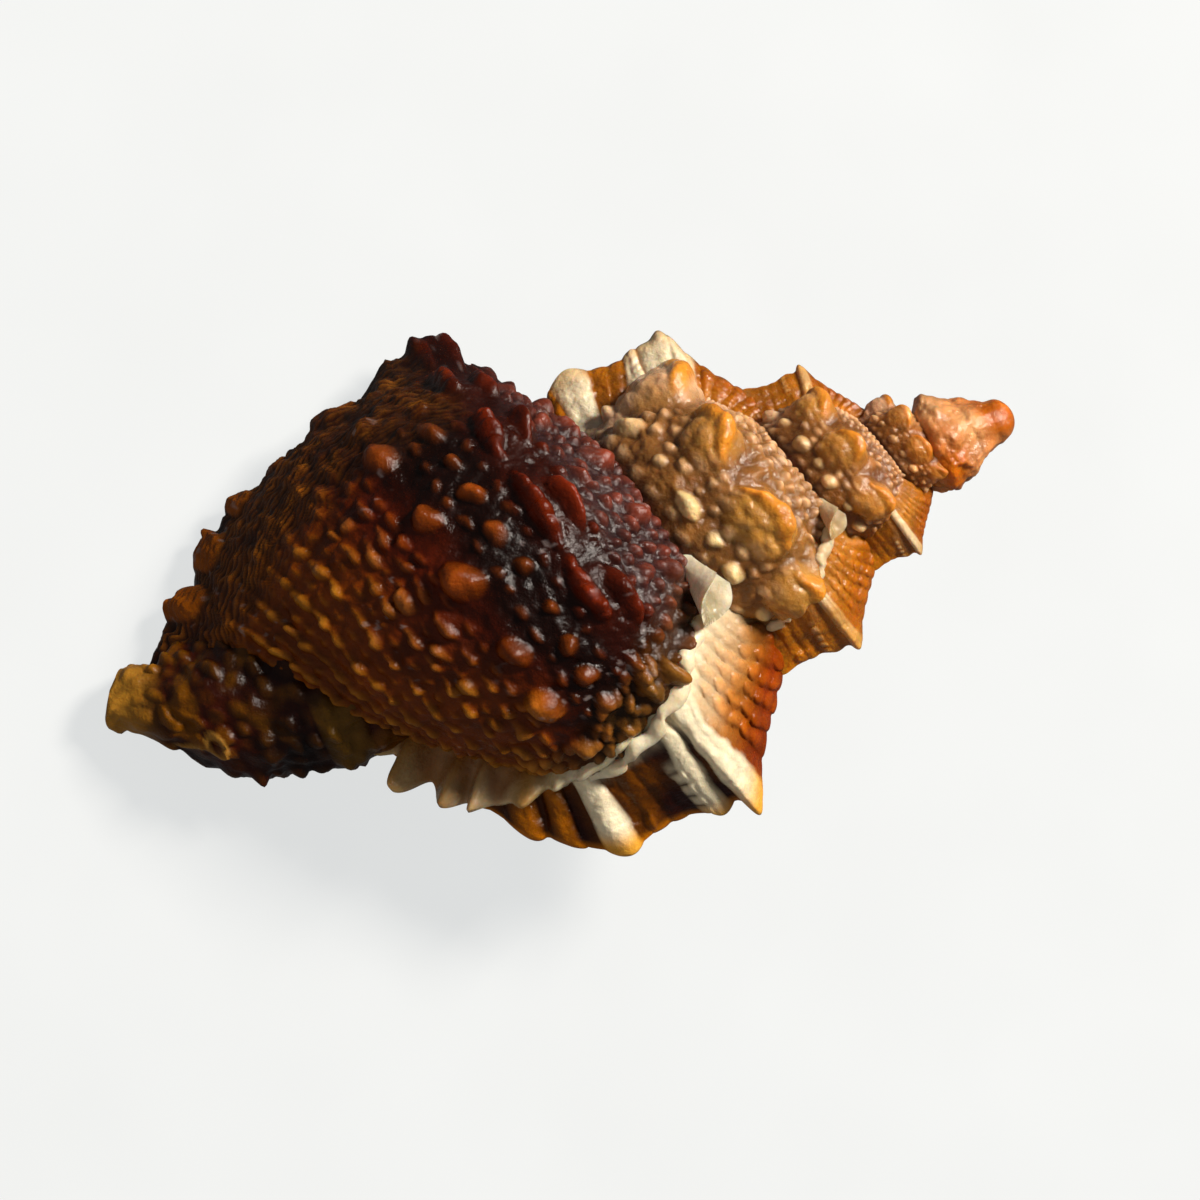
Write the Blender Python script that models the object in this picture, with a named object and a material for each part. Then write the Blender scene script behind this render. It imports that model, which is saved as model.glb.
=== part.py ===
"""Frog shell: one thick, closed spiral shell with a hollow last whorl.

The shell grows as a spiral about its long axis.  A section of the whorl keeps its shape
and gets larger by the same ratio every turn, so the outside is worked out from one
section, one growth ratio and the sculpture that stands on it: a pair of fin-like varices
half a turn apart, rows of knobs, and a short canal at the front end.

Growth frame, in millimetres: stations run along the axis from the apex (0) to the end of
the canal (LENGTH).  The turn angle is 0 at the last lip and negative towards the apex;
0 is at +Y, -90 degrees on the back (+Z), -180 at -Y and -270 on the aperture side (-Z).
The shell then rolls and pitches into the pose in which it lies on its aperture.
"""
import math

import bmesh
import bpy
import numpy as np
from mathutils import Matrix, Vector

MM = 0.001

# Driving dimensions, in millimetres and degrees
LENGTH = 60.0
GROWTH_PER_TURN = 1.66
WHORLS = 5
FLATTENING = 0.86
LIP_REACH = 14.0

# The whorl's section at the last lip, as (station, radius), suture to canal
SECTION = [(24.5, 2.5), (27.0, 8.6), (30.0, 12.7), (33.0, 15.3), (37.0, 16.2),
           (41.0, 15.6), (45.0, 13.8), (49.0, 11.0), (52.0, 8.3), (55.0, 5.2), (57.5, 1.0)]

# The outlines of the varices, as (station, radius) of a whorl that has the lip's size
OLD_VARIX = [(24.0, 11.0), (27.5, 17.0), (31.2, 22.6), (34.5, 21.2), (37.5, 21.4),
             (41.5, 22.2), (45.5, 20.4), (49.0, 17.2), (52.5, 15.2), (56.5, 11.0), (60.0, 4.0)]
LAST_VARIX = [(26.5, 9.5), (29.5, 14.0), (32.5, 18.3), (36.5, 18.0), (41.0, 17.0),
              (47.0, 14.4), (51.5, 11.2), (54.0, 7.0), (56.5, 2.0)]
VARIX_HALF_ANGLE = 12.0
LAST_VARIX_HALF_ANGLE = 14.0
VARIX_TAPER = 1.6

# Knob rows: station and height at the lip's size, angle between knobs, half widths
KNOB_ROWS = [
    {"station": 33.2, "height": 1.5, "spacing": 26.0, "width": 1.6, "angle": 5.5},
    {"station": 41.6, "height": 1.0, "spacing": 17.0, "width": 1.1, "angle": 4.5},
]

# The canal: stations, offset of its middle towards the last lip, and half width
CANAL_STATIONS = [26.0, 36.0, 42.0, 46.0, 50.0, 54.0, 57.5, 60.0]
CANAL_OFFSETS = [0.0, 0.0, 0.0, 0.0, 0.3, 0.9, 2.8, 4.3]
CANAL_RADII = [1.5, 4.4, 5.4, 5.5, 5.2, 4.5, 3.0, 1.9]

# The oldest whorls at the apex, worn to a cone with a round tip
APEX_RADIUS = 1.35
APEX_SLOPE = 0.38
WORN_LENGTH = 8.5

# The hollow of the last whorl, at the lip's size
HOLLOW_STATION = 37.8
HOLLOW_RADIUS_FROM_AXIS = 8.7
HOLLOW_HALF_LENGTH = 8.4
HOLLOW_HALF_WIDTH = 5.3
HOLLOW_START = -190.0
HOLLOW_END = 35.0
HOLLOW_STEP = 9.0

# The pose in which the shell lies on its aperture, and its place over the origin
REST_ROLL = -12.47
REST_PITCH = -11.55
REST_SHIFT = (29.32, -0.55, 14.82)

# The mesh: rows along the shell, columns round it, and the share of faces that is kept
ROWS = 120
COLUMNS = 104
COLUMN_CROWDING = 0.26
KEPT_FACES = 0.37

SHELL_COLOUR = (0.19, 0.062, 0.016, 1.0)
SHELL_ROUGHNESS = 0.32


def smooth_curve(points, at):
    """A smooth curve through (x, y) points, read at x values; 0 outside the points."""
    xs, ys = np.array(points, float).T
    slopes = np.gradient(ys, xs)
    at = np.asarray(at, float)
    i = np.clip(np.searchsorted(xs, at) - 1, 0, len(xs) - 2)
    step = xs[i + 1] - xs[i]
    t = np.clip((at - xs[i]) / step, 0.0, 1.0)
    value = ((1 + 2 * t) * (1 - t) ** 2 * ys[i] + t * (1 - t) ** 2 * step * slopes[i]
             + t * t * (3 - 2 * t) * ys[i + 1] - t * t * (1 - t) * step * slopes[i + 1])
    inside = (at >= xs[0]) & (at <= xs[-1])
    return np.where(inside, np.maximum(value, 0.0), 0.0)


def growth(turn_angle):
    """The size of the whorl at a turn angle, as a share of its size at the last lip."""
    return GROWTH_PER_TURN ** (turn_angle / 360.0)


def knobs(station, turn_angle):
    """The height of the knob rows at a station and angle of a whorl of the lip's size."""
    height = 0.0
    for row in KNOB_ROWS:
        off_row = (station - row["station"]) / row["width"]
        nearest = round(turn_angle / row["spacing"]) * row["spacing"]
        off_knob = (turn_angle - nearest) / row["angle"]
        height += row["height"] * math.exp(-off_row ** 2 - off_knob ** 2)
    return height


def varix(station, turn_angle):
    """The radius of the nearest varix at a station of a whorl of the lip's size."""
    nearest = round(turn_angle / 180.0) * 180.0
    last = nearest == 0.0
    outline = LAST_VARIX if last else OLD_VARIX
    half_angle = LAST_VARIX_HALF_ANGLE if last else VARIX_HALF_ANGLE
    off = abs(turn_angle - nearest) / half_angle
    if off >= 1.0:
        return 0.0
    base = float(smooth_curve(SECTION, station))
    crest = float(smooth_curve(outline, station))
    share = (1.0 - off) ** VARIX_TAPER
    return base + (crest - base) * share if crest > base else crest * share


def worn_apex(station):
    """The radius of the worn tip: a dome that runs into a cone."""
    if station < APEX_RADIUS:
        return math.sqrt(max(0.0, APEX_RADIUS ** 2 - (station - APEX_RADIUS) ** 2))
    if station < WORN_LENGTH:
        return APEX_RADIUS + APEX_SLOPE * (station - APEX_RADIUS)
    return 0.0


def outer_radius(station, angle):
    """The shell's radius at a station, for an angle from -360 + LIP_REACH to LIP_REACH."""
    radius = worn_apex(station)
    for turn in range(WHORLS):
        turn_angle = angle - 360.0 * turn
        size = growth(turn_angle)
        here = station / size
        wall = float(smooth_curve(SECTION, here))
        if wall > 0.0:
            wall += knobs(here, turn_angle)
        radius = max(radius, size * wall, size * varix(here, turn_angle))
    return max(radius, float(np.interp(station, CANAL_STATIONS, CANAL_RADII, left=0.0)))


def station_of(share):
    """Rows are closer together at both ends, where the shell closes."""
    return LENGTH * (share - 0.055 * math.sin(4.0 * math.pi * share) / 2.0)


def rest_pose():
    """Growth frame (apex towards +X) to the pose in which the shell lies."""
    place = Matrix.Translation(Vector(REST_SHIFT) * MM)
    roll = Matrix.Rotation(math.radians(REST_ROLL), 4, "X")
    pitch = Matrix.Rotation(math.radians(REST_PITCH), 4, "Y")
    return place @ pitch @ roll


def new_object(name, mesh, collection):
    thing = bpy.data.objects.new(name, mesh)
    collection.objects.link(thing)
    return thing


def new_collection(name):
    collection = bpy.data.collections.new(name)
    bpy.context.scene.collection.children.link(collection)
    return collection


def shell_material():
    material = bpy.data.materials.new("shell_wall")
    material.use_nodes = True
    shader = material.node_tree.nodes["Principled BSDF"]
    shader.inputs["Base Color"].default_value = SHELL_COLOUR
    shader.inputs["Roughness"].default_value = SHELL_ROUGHNESS
    shader.inputs["Metallic"].default_value = 0.0
    material.diffuse_color = SHELL_COLOUR
    return material


def build_outside(collection):
    """A sphere whose rows become stations on the axis and whose columns become angles."""
    form = bmesh.new()
    bmesh.ops.create_uvsphere(form, u_segments=COLUMNS, v_segments=ROWS, radius=1.0)
    for vertex in form.verts:
        x, y, z = vertex.co
        station = station_of(math.acos(max(-1.0, min(1.0, z))) / math.pi)
        turn = math.atan2(y, x)
        turn -= COLUMN_CROWDING * math.sin(2.0 * turn)
        angle = math.degrees(turn)
        if angle > LIP_REACH:
            angle -= 360.0
        at_pole = math.hypot(x, y) < 1e-4
        radius = 0.0 if at_pole else outer_radius(station, angle)
        offset = float(np.interp(station, CANAL_STATIONS, CANAL_OFFSETS))
        across = offset + radius * math.cos(turn)
        down = radius * math.sin(turn) * FLATTENING
        vertex.co = Vector((-station, across, -down)) * MM
    bmesh.ops.recalc_face_normals(form, faces=form.faces)
    bmesh.ops.triangulate(form, faces=form.faces)
    mesh = bpy.data.meshes.new("shell")
    form.to_mesh(mesh)
    form.free()
    return new_object("shell", mesh, collection)


def build_hollow(collection):
    """The last whorl's hollow: a tube along the spiral, oval across, wide at the lip."""
    stretch = HOLLOW_HALF_LENGTH / HOLLOW_HALF_WIDTH
    path = bpy.data.curves.new("hollow_path", "CURVE")
    path.dimensions = "3D"
    path.bevel_depth = HOLLOW_HALF_WIDTH * MM
    path.bevel_resolution = 4
    path.use_fill_caps = True
    count = int((HOLLOW_END - HOLLOW_START) / HOLLOW_STEP) + 1
    spline = path.splines.new("POLY")
    spline.points.add(count - 1)
    for i, point in enumerate(spline.points):
        turn_angle = HOLLOW_START + i * HOLLOW_STEP
        size = growth(turn_angle)
        turn = math.radians(turn_angle)
        reach = HOLLOW_RADIUS_FROM_AXIS * size
        x = -HOLLOW_STATION * size / stretch
        y = reach * math.cos(turn)
        z = -reach * math.sin(turn) * FLATTENING
        point.co = (x * MM, y * MM, z * MM, 1.0)
        point.radius = size * min(1.0, 0.35 + 0.2 * i)
    guide = new_object("hollow_guide", path, collection)
    bpy.context.view_layer.update()
    evaluated = guide.evaluated_get(bpy.context.evaluated_depsgraph_get())
    mesh = bpy.data.meshes.new_from_object(evaluated)
    bpy.data.objects.remove(guide)
    mesh.transform(Matrix.Scale(stretch, 4, (1.0, 0.0, 0.0)))
    form = bmesh.new()
    form.from_mesh(mesh)
    bmesh.ops.remove_doubles(form, verts=form.verts, dist=0.00001)
    bmesh.ops.recalc_face_normals(form, faces=form.faces)
    form.to_mesh(mesh)
    form.free()
    cutter = new_object("hollow", mesh, collection)
    cutter.hide_render = True
    cutter.display_type = "WIRE"
    return cutter


def main():
    for thing in list(bpy.data.objects):
        bpy.data.objects.remove(thing)
    parts = new_collection("frog_shell")
    cutters = new_collection("cutters")
    shell = build_outside(parts)
    hollow = build_hollow(cutters)
    for thing in (shell, hollow):
        thing.data.transform(rest_pose())
    shell.data.materials.append(shell_material())
    cut = shell.modifiers.new("Aperture", "BOOLEAN")
    cut.operation = "DIFFERENCE"
    cut.object = hollow
    thin = shell.modifiers.new("Fewer faces", "DECIMATE")
    thin.ratio = KEPT_FACES
    shell.data.shade_smooth()
    shell.data.set_sharp_from_angle(angle=math.radians(40.0))


main()
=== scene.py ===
# %% [markdown]
# # A frog shell in cells
#
# A sea snail builds its shell as a tube that winds round an axis and widens by the same
# ratio every turn. So one section of the tube, one growth ratio and one pattern of cords
# and beads describe the whole shell. Each cell below makes one stretch of growth, or one
# thing that the snail added to it: a fin, a frill, a spout, the canal, the lining.

# %% Load the frame
import math

import bpy
import numpy as np
from mathutils import Matrix, Vector


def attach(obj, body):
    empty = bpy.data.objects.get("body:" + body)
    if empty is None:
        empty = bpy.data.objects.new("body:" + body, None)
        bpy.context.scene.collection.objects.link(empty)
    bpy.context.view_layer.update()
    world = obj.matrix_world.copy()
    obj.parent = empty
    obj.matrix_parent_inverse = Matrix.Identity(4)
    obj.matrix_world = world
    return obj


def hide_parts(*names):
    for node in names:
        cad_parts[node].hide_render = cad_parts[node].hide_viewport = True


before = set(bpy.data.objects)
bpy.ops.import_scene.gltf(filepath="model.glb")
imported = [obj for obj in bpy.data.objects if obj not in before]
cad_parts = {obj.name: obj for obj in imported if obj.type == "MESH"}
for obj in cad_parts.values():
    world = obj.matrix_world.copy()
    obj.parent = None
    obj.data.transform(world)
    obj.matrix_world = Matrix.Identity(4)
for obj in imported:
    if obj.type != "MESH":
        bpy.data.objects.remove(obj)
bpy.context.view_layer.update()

# %% [markdown]
# ## The rule of growth
#
# Sizes are in millimetres. A place on the shell has a station (its distance from the apex
# along the axis), a radius from the axis and a turn angle, which is 0 at the last lip and
# gets more negative towards the apex. -90 degrees is the middle of the back, -180 the
# first old lip, -270 the middle of the underside. Everything is worked out at the size of
# the last lip and then shrunk by `growth`, as on the real shell. `along` is the distance
# walked over the section of a whorl, from the suture towards the canal.

# %% Growth and the section of a whorl
MM = 0.001
FULL_TURN = 360.0
HALF_TURN = 180.0
LENGTH = 60.0
GROWTH_PER_TURN = 1.66
FLATTENING = 0.86
LIP_REACH = 14.0
SECTION = [(24.5, 2.5), (27.0, 8.6), (30.0, 12.7), (33.0, 15.3), (37.0, 16.2),
           (41.0, 15.7), (45.0, 14.2), (49.0, 11.7), (52.0, 9.0), (55.0, 5.7), (57.5, 1.2)]
SECTION_TOP = 25.2
SUTURE = 27.0
SECTION_STEPS = 800
CANAL_OFFSET = [(26.0, 0.0), (36.0, 0.0), (42.0, 0.0), (46.0, 0.0), (50.0, 0.3), (54.0, 0.9),
                (57.5, 2.8), (60.0, 4.3)]
CANAL_RADIUS = [(26.0, 1.5), (36.0, 4.4), (42.0, 5.4), (46.0, 5.5), (50.0, 5.2), (54.0, 4.5),
                (57.5, 3.0), (60.0, 1.9)]


def growth(angle):
    return GROWTH_PER_TURN ** (angle / FULL_TURN)


def through(points, at):
    """A smooth curve through (x, y) points, read at x values and flat beyond its ends."""
    xs, ys = np.array(points, float).T
    slopes = np.gradient(ys, xs)
    at = np.clip(np.asarray(at, float), xs[0], xs[-1])
    i = np.clip(np.searchsorted(xs, at) - 1, 0, len(xs) - 2)
    step = xs[i + 1] - xs[i]
    t = (at - xs[i]) / step
    return ((1 + 2 * t) * (1 - t) ** 2 * ys[i] + t * (1 - t) ** 2 * step * slopes[i]
            + t * t * (3 - 2 * t) * ys[i + 1] - t * t * (1 - t) * step * slopes[i + 1])


def measure_section():
    """The section as a curve by its own length, with its outward normal."""
    station = np.linspace(SECTION_TOP, SECTION[-1][0], SECTION_STEPS)
    radius = through(SECTION, station)
    walked = np.concatenate([[0], np.cumsum(np.hypot(np.diff(station), np.diff(radius)))])
    walked -= np.interp(SUTURE, station, walked)
    tangent = np.stack([np.gradient(station, walked), np.gradient(radius, walked)])
    tangent /= np.hypot(*tangent)
    return walked, station, radius, -tangent[1], tangent[0]


WALKED, STATION, RADIUS, NORMAL_ALONG, NORMAL_OUT = measure_section()
print("the section is", round(WALKED[-1], 1), "mm from suture to canal")


# %% Reading the section
def station_at(along):
    return np.interp(along, WALKED, STATION)


def radius_at(along):
    return np.interp(along, WALKED, RADIUS)


def mm_per_degree(along):
    return radius_at(along) * math.pi / HALF_TURN


print("one degree is", round(mm_per_degree(15.0), 2), "mm at the widest place")

# %% [markdown]
# ## The pose
#
# A loose shell lies on its aperture. It touches the table with the underside of the
# canal, the belly of the last whorl and the edge of the outer lip, so it is rolled and
# pitched a little. `placed` takes a place on the shell to a place on the table.

# %% From the shell's own frame to the table
REST_ROLL = -12.47
REST_PITCH = -11.55
REST_SHIFT = (29.32, -0.55, 14.82)
REST = (Matrix.Translation(Vector(REST_SHIFT))
        @ Matrix.Rotation(math.radians(REST_PITCH), 4, "Y")
        @ Matrix.Rotation(math.radians(REST_ROLL), 4, "X"))


def on_table(own):
    """Places on the table, in metres, from places in the shell's own frame."""
    turn_and_shift = np.array(REST)
    return (own @ turn_and_shift[:3, :3].T + turn_and_shift[:3, 3]) * MM


def placed(station, radius, angle):
    """Places on the table from stations, radii and angles in degrees."""
    turn = np.radians(angle)
    across = through(CANAL_OFFSET, station) + radius * np.cos(turn)
    up = -radius * np.sin(turn) * FLATTENING
    return on_table(np.stack([-station, across, up], axis=-1))


def grown(station, radius, angle):
    """The same, from a station and a radius as they would be at the last lip."""
    size = growth(angle)
    return placed(station * size, radius * size, angle)


print("the apex is at", np.round(placed(0.0, 0.0, 0.0) / MM, 1), "mm")

# %% [markdown]
# ## Chance that repeats
#
# No two beads on a shell are alike. The numbers that vary them come from their own place
# in the pattern, not from a random generator, so the shell is the same on every run.

# %% Scatter and noise
def scatter(*numbers):
    """A value from 0 to 1 for each whole number or set of whole numbers."""
    mixed = np.zeros(np.shape(numbers[0]), np.int64)
    with np.errstate(over="ignore"):  # running over 64 bits is part of the mixing
        for prime, number in zip((374761393, 668265263, 2147483629, 1013904223), numbers):
            mixed = mixed + np.asarray(number).astype(np.int64) * prime
        mixed = (mixed ^ (mixed >> 13)) * 1274126177 & 0xFFFFFFFF
        mixed = (mixed ^ (mixed >> 15)) * 2246822519 & 0xFFFFFFFF
    return ((mixed ^ (mixed >> 16)) & 0xFFFFFF) / float(0xFFFFFF)


def noise(points, size, seed=0):
    """Smooth noise from -1 to 1 whose lumps are about `size` across."""
    scaled = np.asarray(points, float) / size
    low = np.floor(scaled)
    part = scaled - low
    part = part * part * (3.0 - 2.0 * part)
    total = np.zeros(scaled.shape[:-1])
    for dx in (0, 1):
        for dy in (0, 1):
            for dz in (0, 1):
                corner = scatter(low[..., 0] + dx, low[..., 1] + dy, low[..., 2] + dz, seed)
                weight = (np.where(dx, part[..., 0], 1 - part[..., 0])
                          * np.where(dy, part[..., 1], 1 - part[..., 1])
                          * np.where(dz, part[..., 2], 1 - part[..., 2]))
                total += corner * weight
    return total * 2.0 - 1.0


def lumpy(points, *layers):
    """Layers of noise added up; each is a height, a lump size and a seed."""
    return sum(height * noise(points, size, seed) for height, size, seed in layers)


def ease(low, high, value):
    """0 below low, 1 above high and a smooth step between."""
    t = np.clip((value - low) / (high - low), 0.0, 1.0)
    return t * t * (3.0 - 2.0 * t)


print("the first chances are", np.round(scatter(np.arange(1, 6)), 2))

# %% [markdown]
# ## Sheets of shell
#
# The snail lays its shell down as a sheet, edge after edge. Each piece here is made the
# same way: a grid primitive is added, its points are moved to where the rule of growth
# puts them, and its open borders are filled so that it is one closed body.

# %% Paint as numbers
def linear(hex_colour):
    """An sRGB hex colour as the linear numbers that shaders work in."""
    parts = [int(hex_colour[i:i + 2], 16) / 255.0 for i in (1, 3, 5)]
    return np.array([p / 12.92 if p <= 0.04045 else ((p + 0.055) / 1.055) ** 2.4
                     for p in parts])


def blend(first, second, share):
    """Mixes two colours, or two arrays of colours, by a share from 0 to 1."""
    share = np.clip(share, 0.0, 1.0)[..., None]
    return first * (1.0 - share) + second * share


def paint(colour, *coats):
    """Lays coats of (colour, share) over a ground colour, one after another."""
    for coat, share in coats:
        colour = blend(colour, coat, share)
    return colour


print("half way from black to white is", np.round(linear("#808080"), 3))


# %% A grid that becomes a piece of shell
def grid(rows, columns):
    """Each point's row value and column value, as two arrays."""
    return np.meshgrid(rows, columns, indexing="ij")


TABLE_CLEARANCE = 0.02
MERGE_DISTANCE = 0.000002
SHARP_ANGLE = 60.0


def sheet(name, places, tint, gloss, material):
    """A closed piece from a (rows, columns, 3) array of places and its paint.

    Beads that would stand below the table are worn flat where they rest on it.
    """
    rows, columns = places.shape[:2]
    bpy.ops.object.select_all(action="DESELECT")
    bpy.ops.mesh.primitive_grid_add(x_subdivisions=columns - 1, y_subdivisions=rows - 1,
                                    size=1.0)
    piece = bpy.context.object
    piece.name = piece.data.name = name
    mesh = piece.data
    flat = np.empty(len(mesh.vertices) * 3)
    mesh.vertices.foreach_get("co", flat)
    x, y = flat.reshape(-1, 3).T[:2]
    column = np.rint((x + 0.5) * (columns - 1)).astype(int)
    row = np.rint((y + 0.5) * (rows - 1)).astype(int)
    spots = places[row, column]
    spots[:, 2] = np.maximum(spots[:, 2], TABLE_CLEARANCE * MM)
    mesh.vertices.foreach_set("co", spots.ravel())
    pigment = mesh.attributes.new("tint", "FLOAT_COLOR", "POINT")
    colours = np.ones((len(row), 4))
    colours[:, :3] = np.clip(tint[row, column], 0.0, 1.0)
    pigment.data.foreach_set("color", colours.ravel())
    shine = mesh.attributes.new("gloss", "FLOAT", "POINT")
    shine.data.foreach_set("value", np.broadcast_to(gloss, (rows, columns))[row, column])
    close_up(piece)
    piece.data.materials.append(material)
    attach(piece, "root")
    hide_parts("shell")
    print(name, "has", len(mesh.polygons), "faces")


def close_up(piece):
    """Merges what meets, fills open borders and turns the faces outwards."""
    bpy.ops.object.mode_set(mode="EDIT")
    bpy.ops.mesh.select_all(action="SELECT")
    bpy.ops.mesh.remove_doubles(threshold=MERGE_DISTANCE)
    bpy.ops.mesh.select_all(action="SELECT")
    bpy.ops.mesh.fill_holes(sides=0)
    bpy.ops.mesh.select_all(action="SELECT")
    bpy.ops.mesh.normals_make_consistent(inside=False)
    bpy.ops.object.mode_set(mode="OBJECT")
    bpy.ops.object.shade_smooth_by_angle(angle=math.radians(SHARP_ANGLE))


print("pieces stay", TABLE_CLEARANCE, "mm above the table")

# %% [markdown]
# ## Cords and beads
#
# The living edge of the snail's mantle has thick and thin places. As the edge moves on,
# each thick place draws a cord along the spiral, and each pulse of growth raises a bead
# on it. A row of beads is described by its place on the section, the angle between
# beads, and their height, width and length.

# %% Rows of beads
def bead_row(angle, along, at, spacing, height, width, length, seed, start=0.0, slope=0.8):
    """The height of one row of beads at the given angles and lengths along the section."""
    turn = (angle - start) / spacing + 0.5
    index = np.floor(turn)
    pick = scatter(index, seed)
    other = scatter(index, seed + 91)
    off = (turn - index - 0.5 + 0.22 * (other - 0.5)) * spacing * mm_per_degree(at)
    across = along - at - 0.35 * width * (pick - 0.5)
    size = 0.82 + 0.36 * pick
    reach = (off / (length * size)) ** 2 + (across / (width * size)) ** 2
    return height * size * np.maximum(0.0, 1.0 - reach) ** slope


def tallest(*heights):
    return np.maximum.reduce(heights)


def bead_rows(angle, along, table):
    """The tallest of several rows; each line of the table is one row's numbers."""
    return tallest(*(bead_row(angle, along, *row) for row in table))


trial = bead_row(np.linspace(0.0, 90.0, 901), 5.0, 5.0, 9.0, 1.0, 0.8, 0.8, 1)
print("a row of beads 1 mm high has beads of up to", round(trial.max(), 2), "mm")

# %% [markdown]
# ## The last half whorl's relief
#
# On the back of the last whorl the ramp below the suture has small beads, the shoulder
# has long double nodules, and below them stand a row of small knobs, a row of the
# largest knobs and many cords with drop-shaped beads.

# %% The rows of the last whorl
# Each row: where it is along the section, degrees between beads, height, width and length
# in mm, seed, first angle and how steeply its beads rise.
SHOULDER = 9.2
NODULE_STEP = 26.3
NODULE_START = -26.0
NODULE_BACK = (SHOULDER - 0.9, NODULE_STEP, 1.4, 0.75, 2.2, 21, NODULE_START, 1.0)
NODULE_FRONT = (SHOULDER + 1.15, NODULE_STEP, 1.15, 0.68, 2.7, 22, NODULE_START + 2.0, 0.9)
NODULE_FOOT = (SHOULDER + 0.2, NODULE_STEP, 0.55, 2.4, 3.2, 21, NODULE_START, 1.3)
RAMP_COARSE = ((2.6, 25.0, 1.0, 1.0, 0.95, 11, -57.0), (5.4, 31.0, 0.8, 0.85, 0.85, 12, -72.0))
SMALL_KNOBS = ((11.9, 6.9, 0.3, 0.42, 0.6, 31), (13.5, 10.4, 0.8, 0.78, 0.9, 32, 3.0, 1.0),
               (15.2, 6.3, 0.3, 0.4, 0.6, 33), (19.2, 6.6, 0.34, 0.42, 0.75, 34))
BIG_KNOBS = (17.3, 19.2, 1.25, 1.3, 1.4, 41, -31.0, 0.95)
BIG_KNOB_FEET = (17.3, 19.2, 0.35, 2.0, 2.2, 41, -31.0, 1.6)
FIRST_LOWER_ROW = (21.9, 15.0, 0.6, 0.62, 0.85, 49, 4.0)
STRONG_DROPS = (9.8, 0.52, 0.48, 1.1)
WEAK_DROPS = (7.1, 0.2, 0.36, 0.7)
THREAD = 0.45
THREAD_HEIGHT = 0.22
BEAD_KNEE = 0.38
EDGE_BEAD_STEP = 1.35
EDGE_BEAD_ROWS = (4.0, 9.5, 15.0)
print("nodules stand every", round(NODULE_STEP * mm_per_degree(SHOULDER), 1), "mm")


# %% From rows to the sculpture of each band
def uneven(angle, along, own, amount=1.0):
    """The same place, shifted a little, so that rows of beads wander and swell."""
    aside = lumpy(own, (0.32, 1.9, 51), (0.14, 0.75, 52))
    ahead = lumpy(own, (1.7, 1.7, 53), (0.7, 0.7, 54))
    return angle + amount * ahead, along + amount * aside


def ramp_beads(angle, along):
    fine = [(at, 6.6 + 1.3 * (i % 3), 0.48, 0.5, 0.55, i, 3.1 * i, 0.65)
            for i, at in enumerate(np.arange(0.9, 7.6, 1.25))]
    return bead_rows(angle, along, (*fine, *RAMP_COARSE))


def shoulder_ridges(angle, along):
    """Two long keels side by side at every nodule, the front one broken into beads."""
    knots = 0.6 + 0.4 * np.abs(np.sin(math.pi * angle / 4.1)) ** 0.8
    ridges = tallest(bead_row(angle, along, *NODULE_BACK),
                     bead_row(angle, along, *NODULE_FRONT) * knots)
    fade = 1.0 - 0.45 * ease(-45.0, -12.0, angle)
    return fade * ridges, fade * bead_row(angle, along, *NODULE_FOOT)


def drop_row(angle, along, at, spacing, height, width, length, seed, start=0.0):
    """A row of drops: each has a round head on its older side and a fading tail."""
    head = bead_row(angle, along, at, spacing, height, width, 0.6 * length, seed, start)
    tail = bead_row(angle - 0.4 * length / mm_per_degree(at), along, at, spacing,
                    0.6 * height, 0.85 * width, 1.05 * length, seed, start, slope=1.5)
    return tallest(head, tail)


def lower_drops(angle, along):
    drops = bead_row(angle, along, *FIRST_LOWER_ROW)
    for i, at in enumerate(np.arange(20.4, 39.0, 1.3)):
        kind = WEAK_DROPS if i % 2 else STRONG_DROPS
        drops = tallest(drops, drop_row(angle, along, at, *kind, 50 + i, 11.0 * scatter(i, 7)))
    return drops


def edge_beads(angle, along, lap):
    """Round beads crowded behind the edge where a half whorl starts."""
    height = np.zeros(angle.shape)
    radius = radius_at(along)
    for i, back in enumerate(EDGE_BEAD_ROWS):
        turn = along / EDGE_BEAD_STEP + 0.5 * i
        index = np.floor(turn)
        pick = scatter(index, 93 + i)
        aside = (turn - index - 0.5) * EDGE_BEAD_STEP
        ahead = np.radians(angle - lap - back - 3.0 * pick) * radius
        reach = (aside / (0.5 + 0.15 * pick)) ** 2 + (ahead / (0.55 + 0.25 * pick)) ** 2
        height = tallest(height, (0.2 + 0.4 * pick) * np.sqrt(np.maximum(0.0, 1.0 - reach)))
    return height * ease(7.0, 9.5, along) * ease(27.0, 23.0, along)


keel, foot = shoulder_ridges(np.linspace(-HALF_TURN, 0.0, 721), NODULE_BACK[0])
print("nodules rise", round(keel.max(), 2), "mm from feet of", round(foot.max(), 2), "mm")


# %% All of the relief
def body_relief(angle, along, own, lap):
    """Height of the last whorl's sculpture, and how much of it is bead, 0 to 1."""
    here = uneven(angle, along, own)
    ridges, swell = shoulder_ridges(*here)
    swell = swell + bead_row(*here, *BIG_KNOB_FEET)
    beads = tallest(ramp_beads(*here), ridges, bead_rows(*here, (*SMALL_KNOBS, BIG_KNOBS)),
                    lower_drops(*here), edge_beads(angle, along, lap))
    near_lip = lip_zone(angle, along)
    smooth_beads = beads * (1.0 - 0.7 * near_lip * (along > 11.5))
    wrinkles = lumpy(own, (0.2, 2.4, 5), (0.17, 0.95, 6), (0.12, 0.45, 7))
    bead = 1.3 * (smooth_beads / (BEAD_KNEE + smooth_beads)) ** 1.9
    wrinkles = wrinkles + 0.25 * noise(own, 0.85, 55) * bead
    combed = THREAD_HEIGHT * near_lip * threads(angle, along, own)
    return smooth_beads + swell + combed + wrinkles, bead


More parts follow.
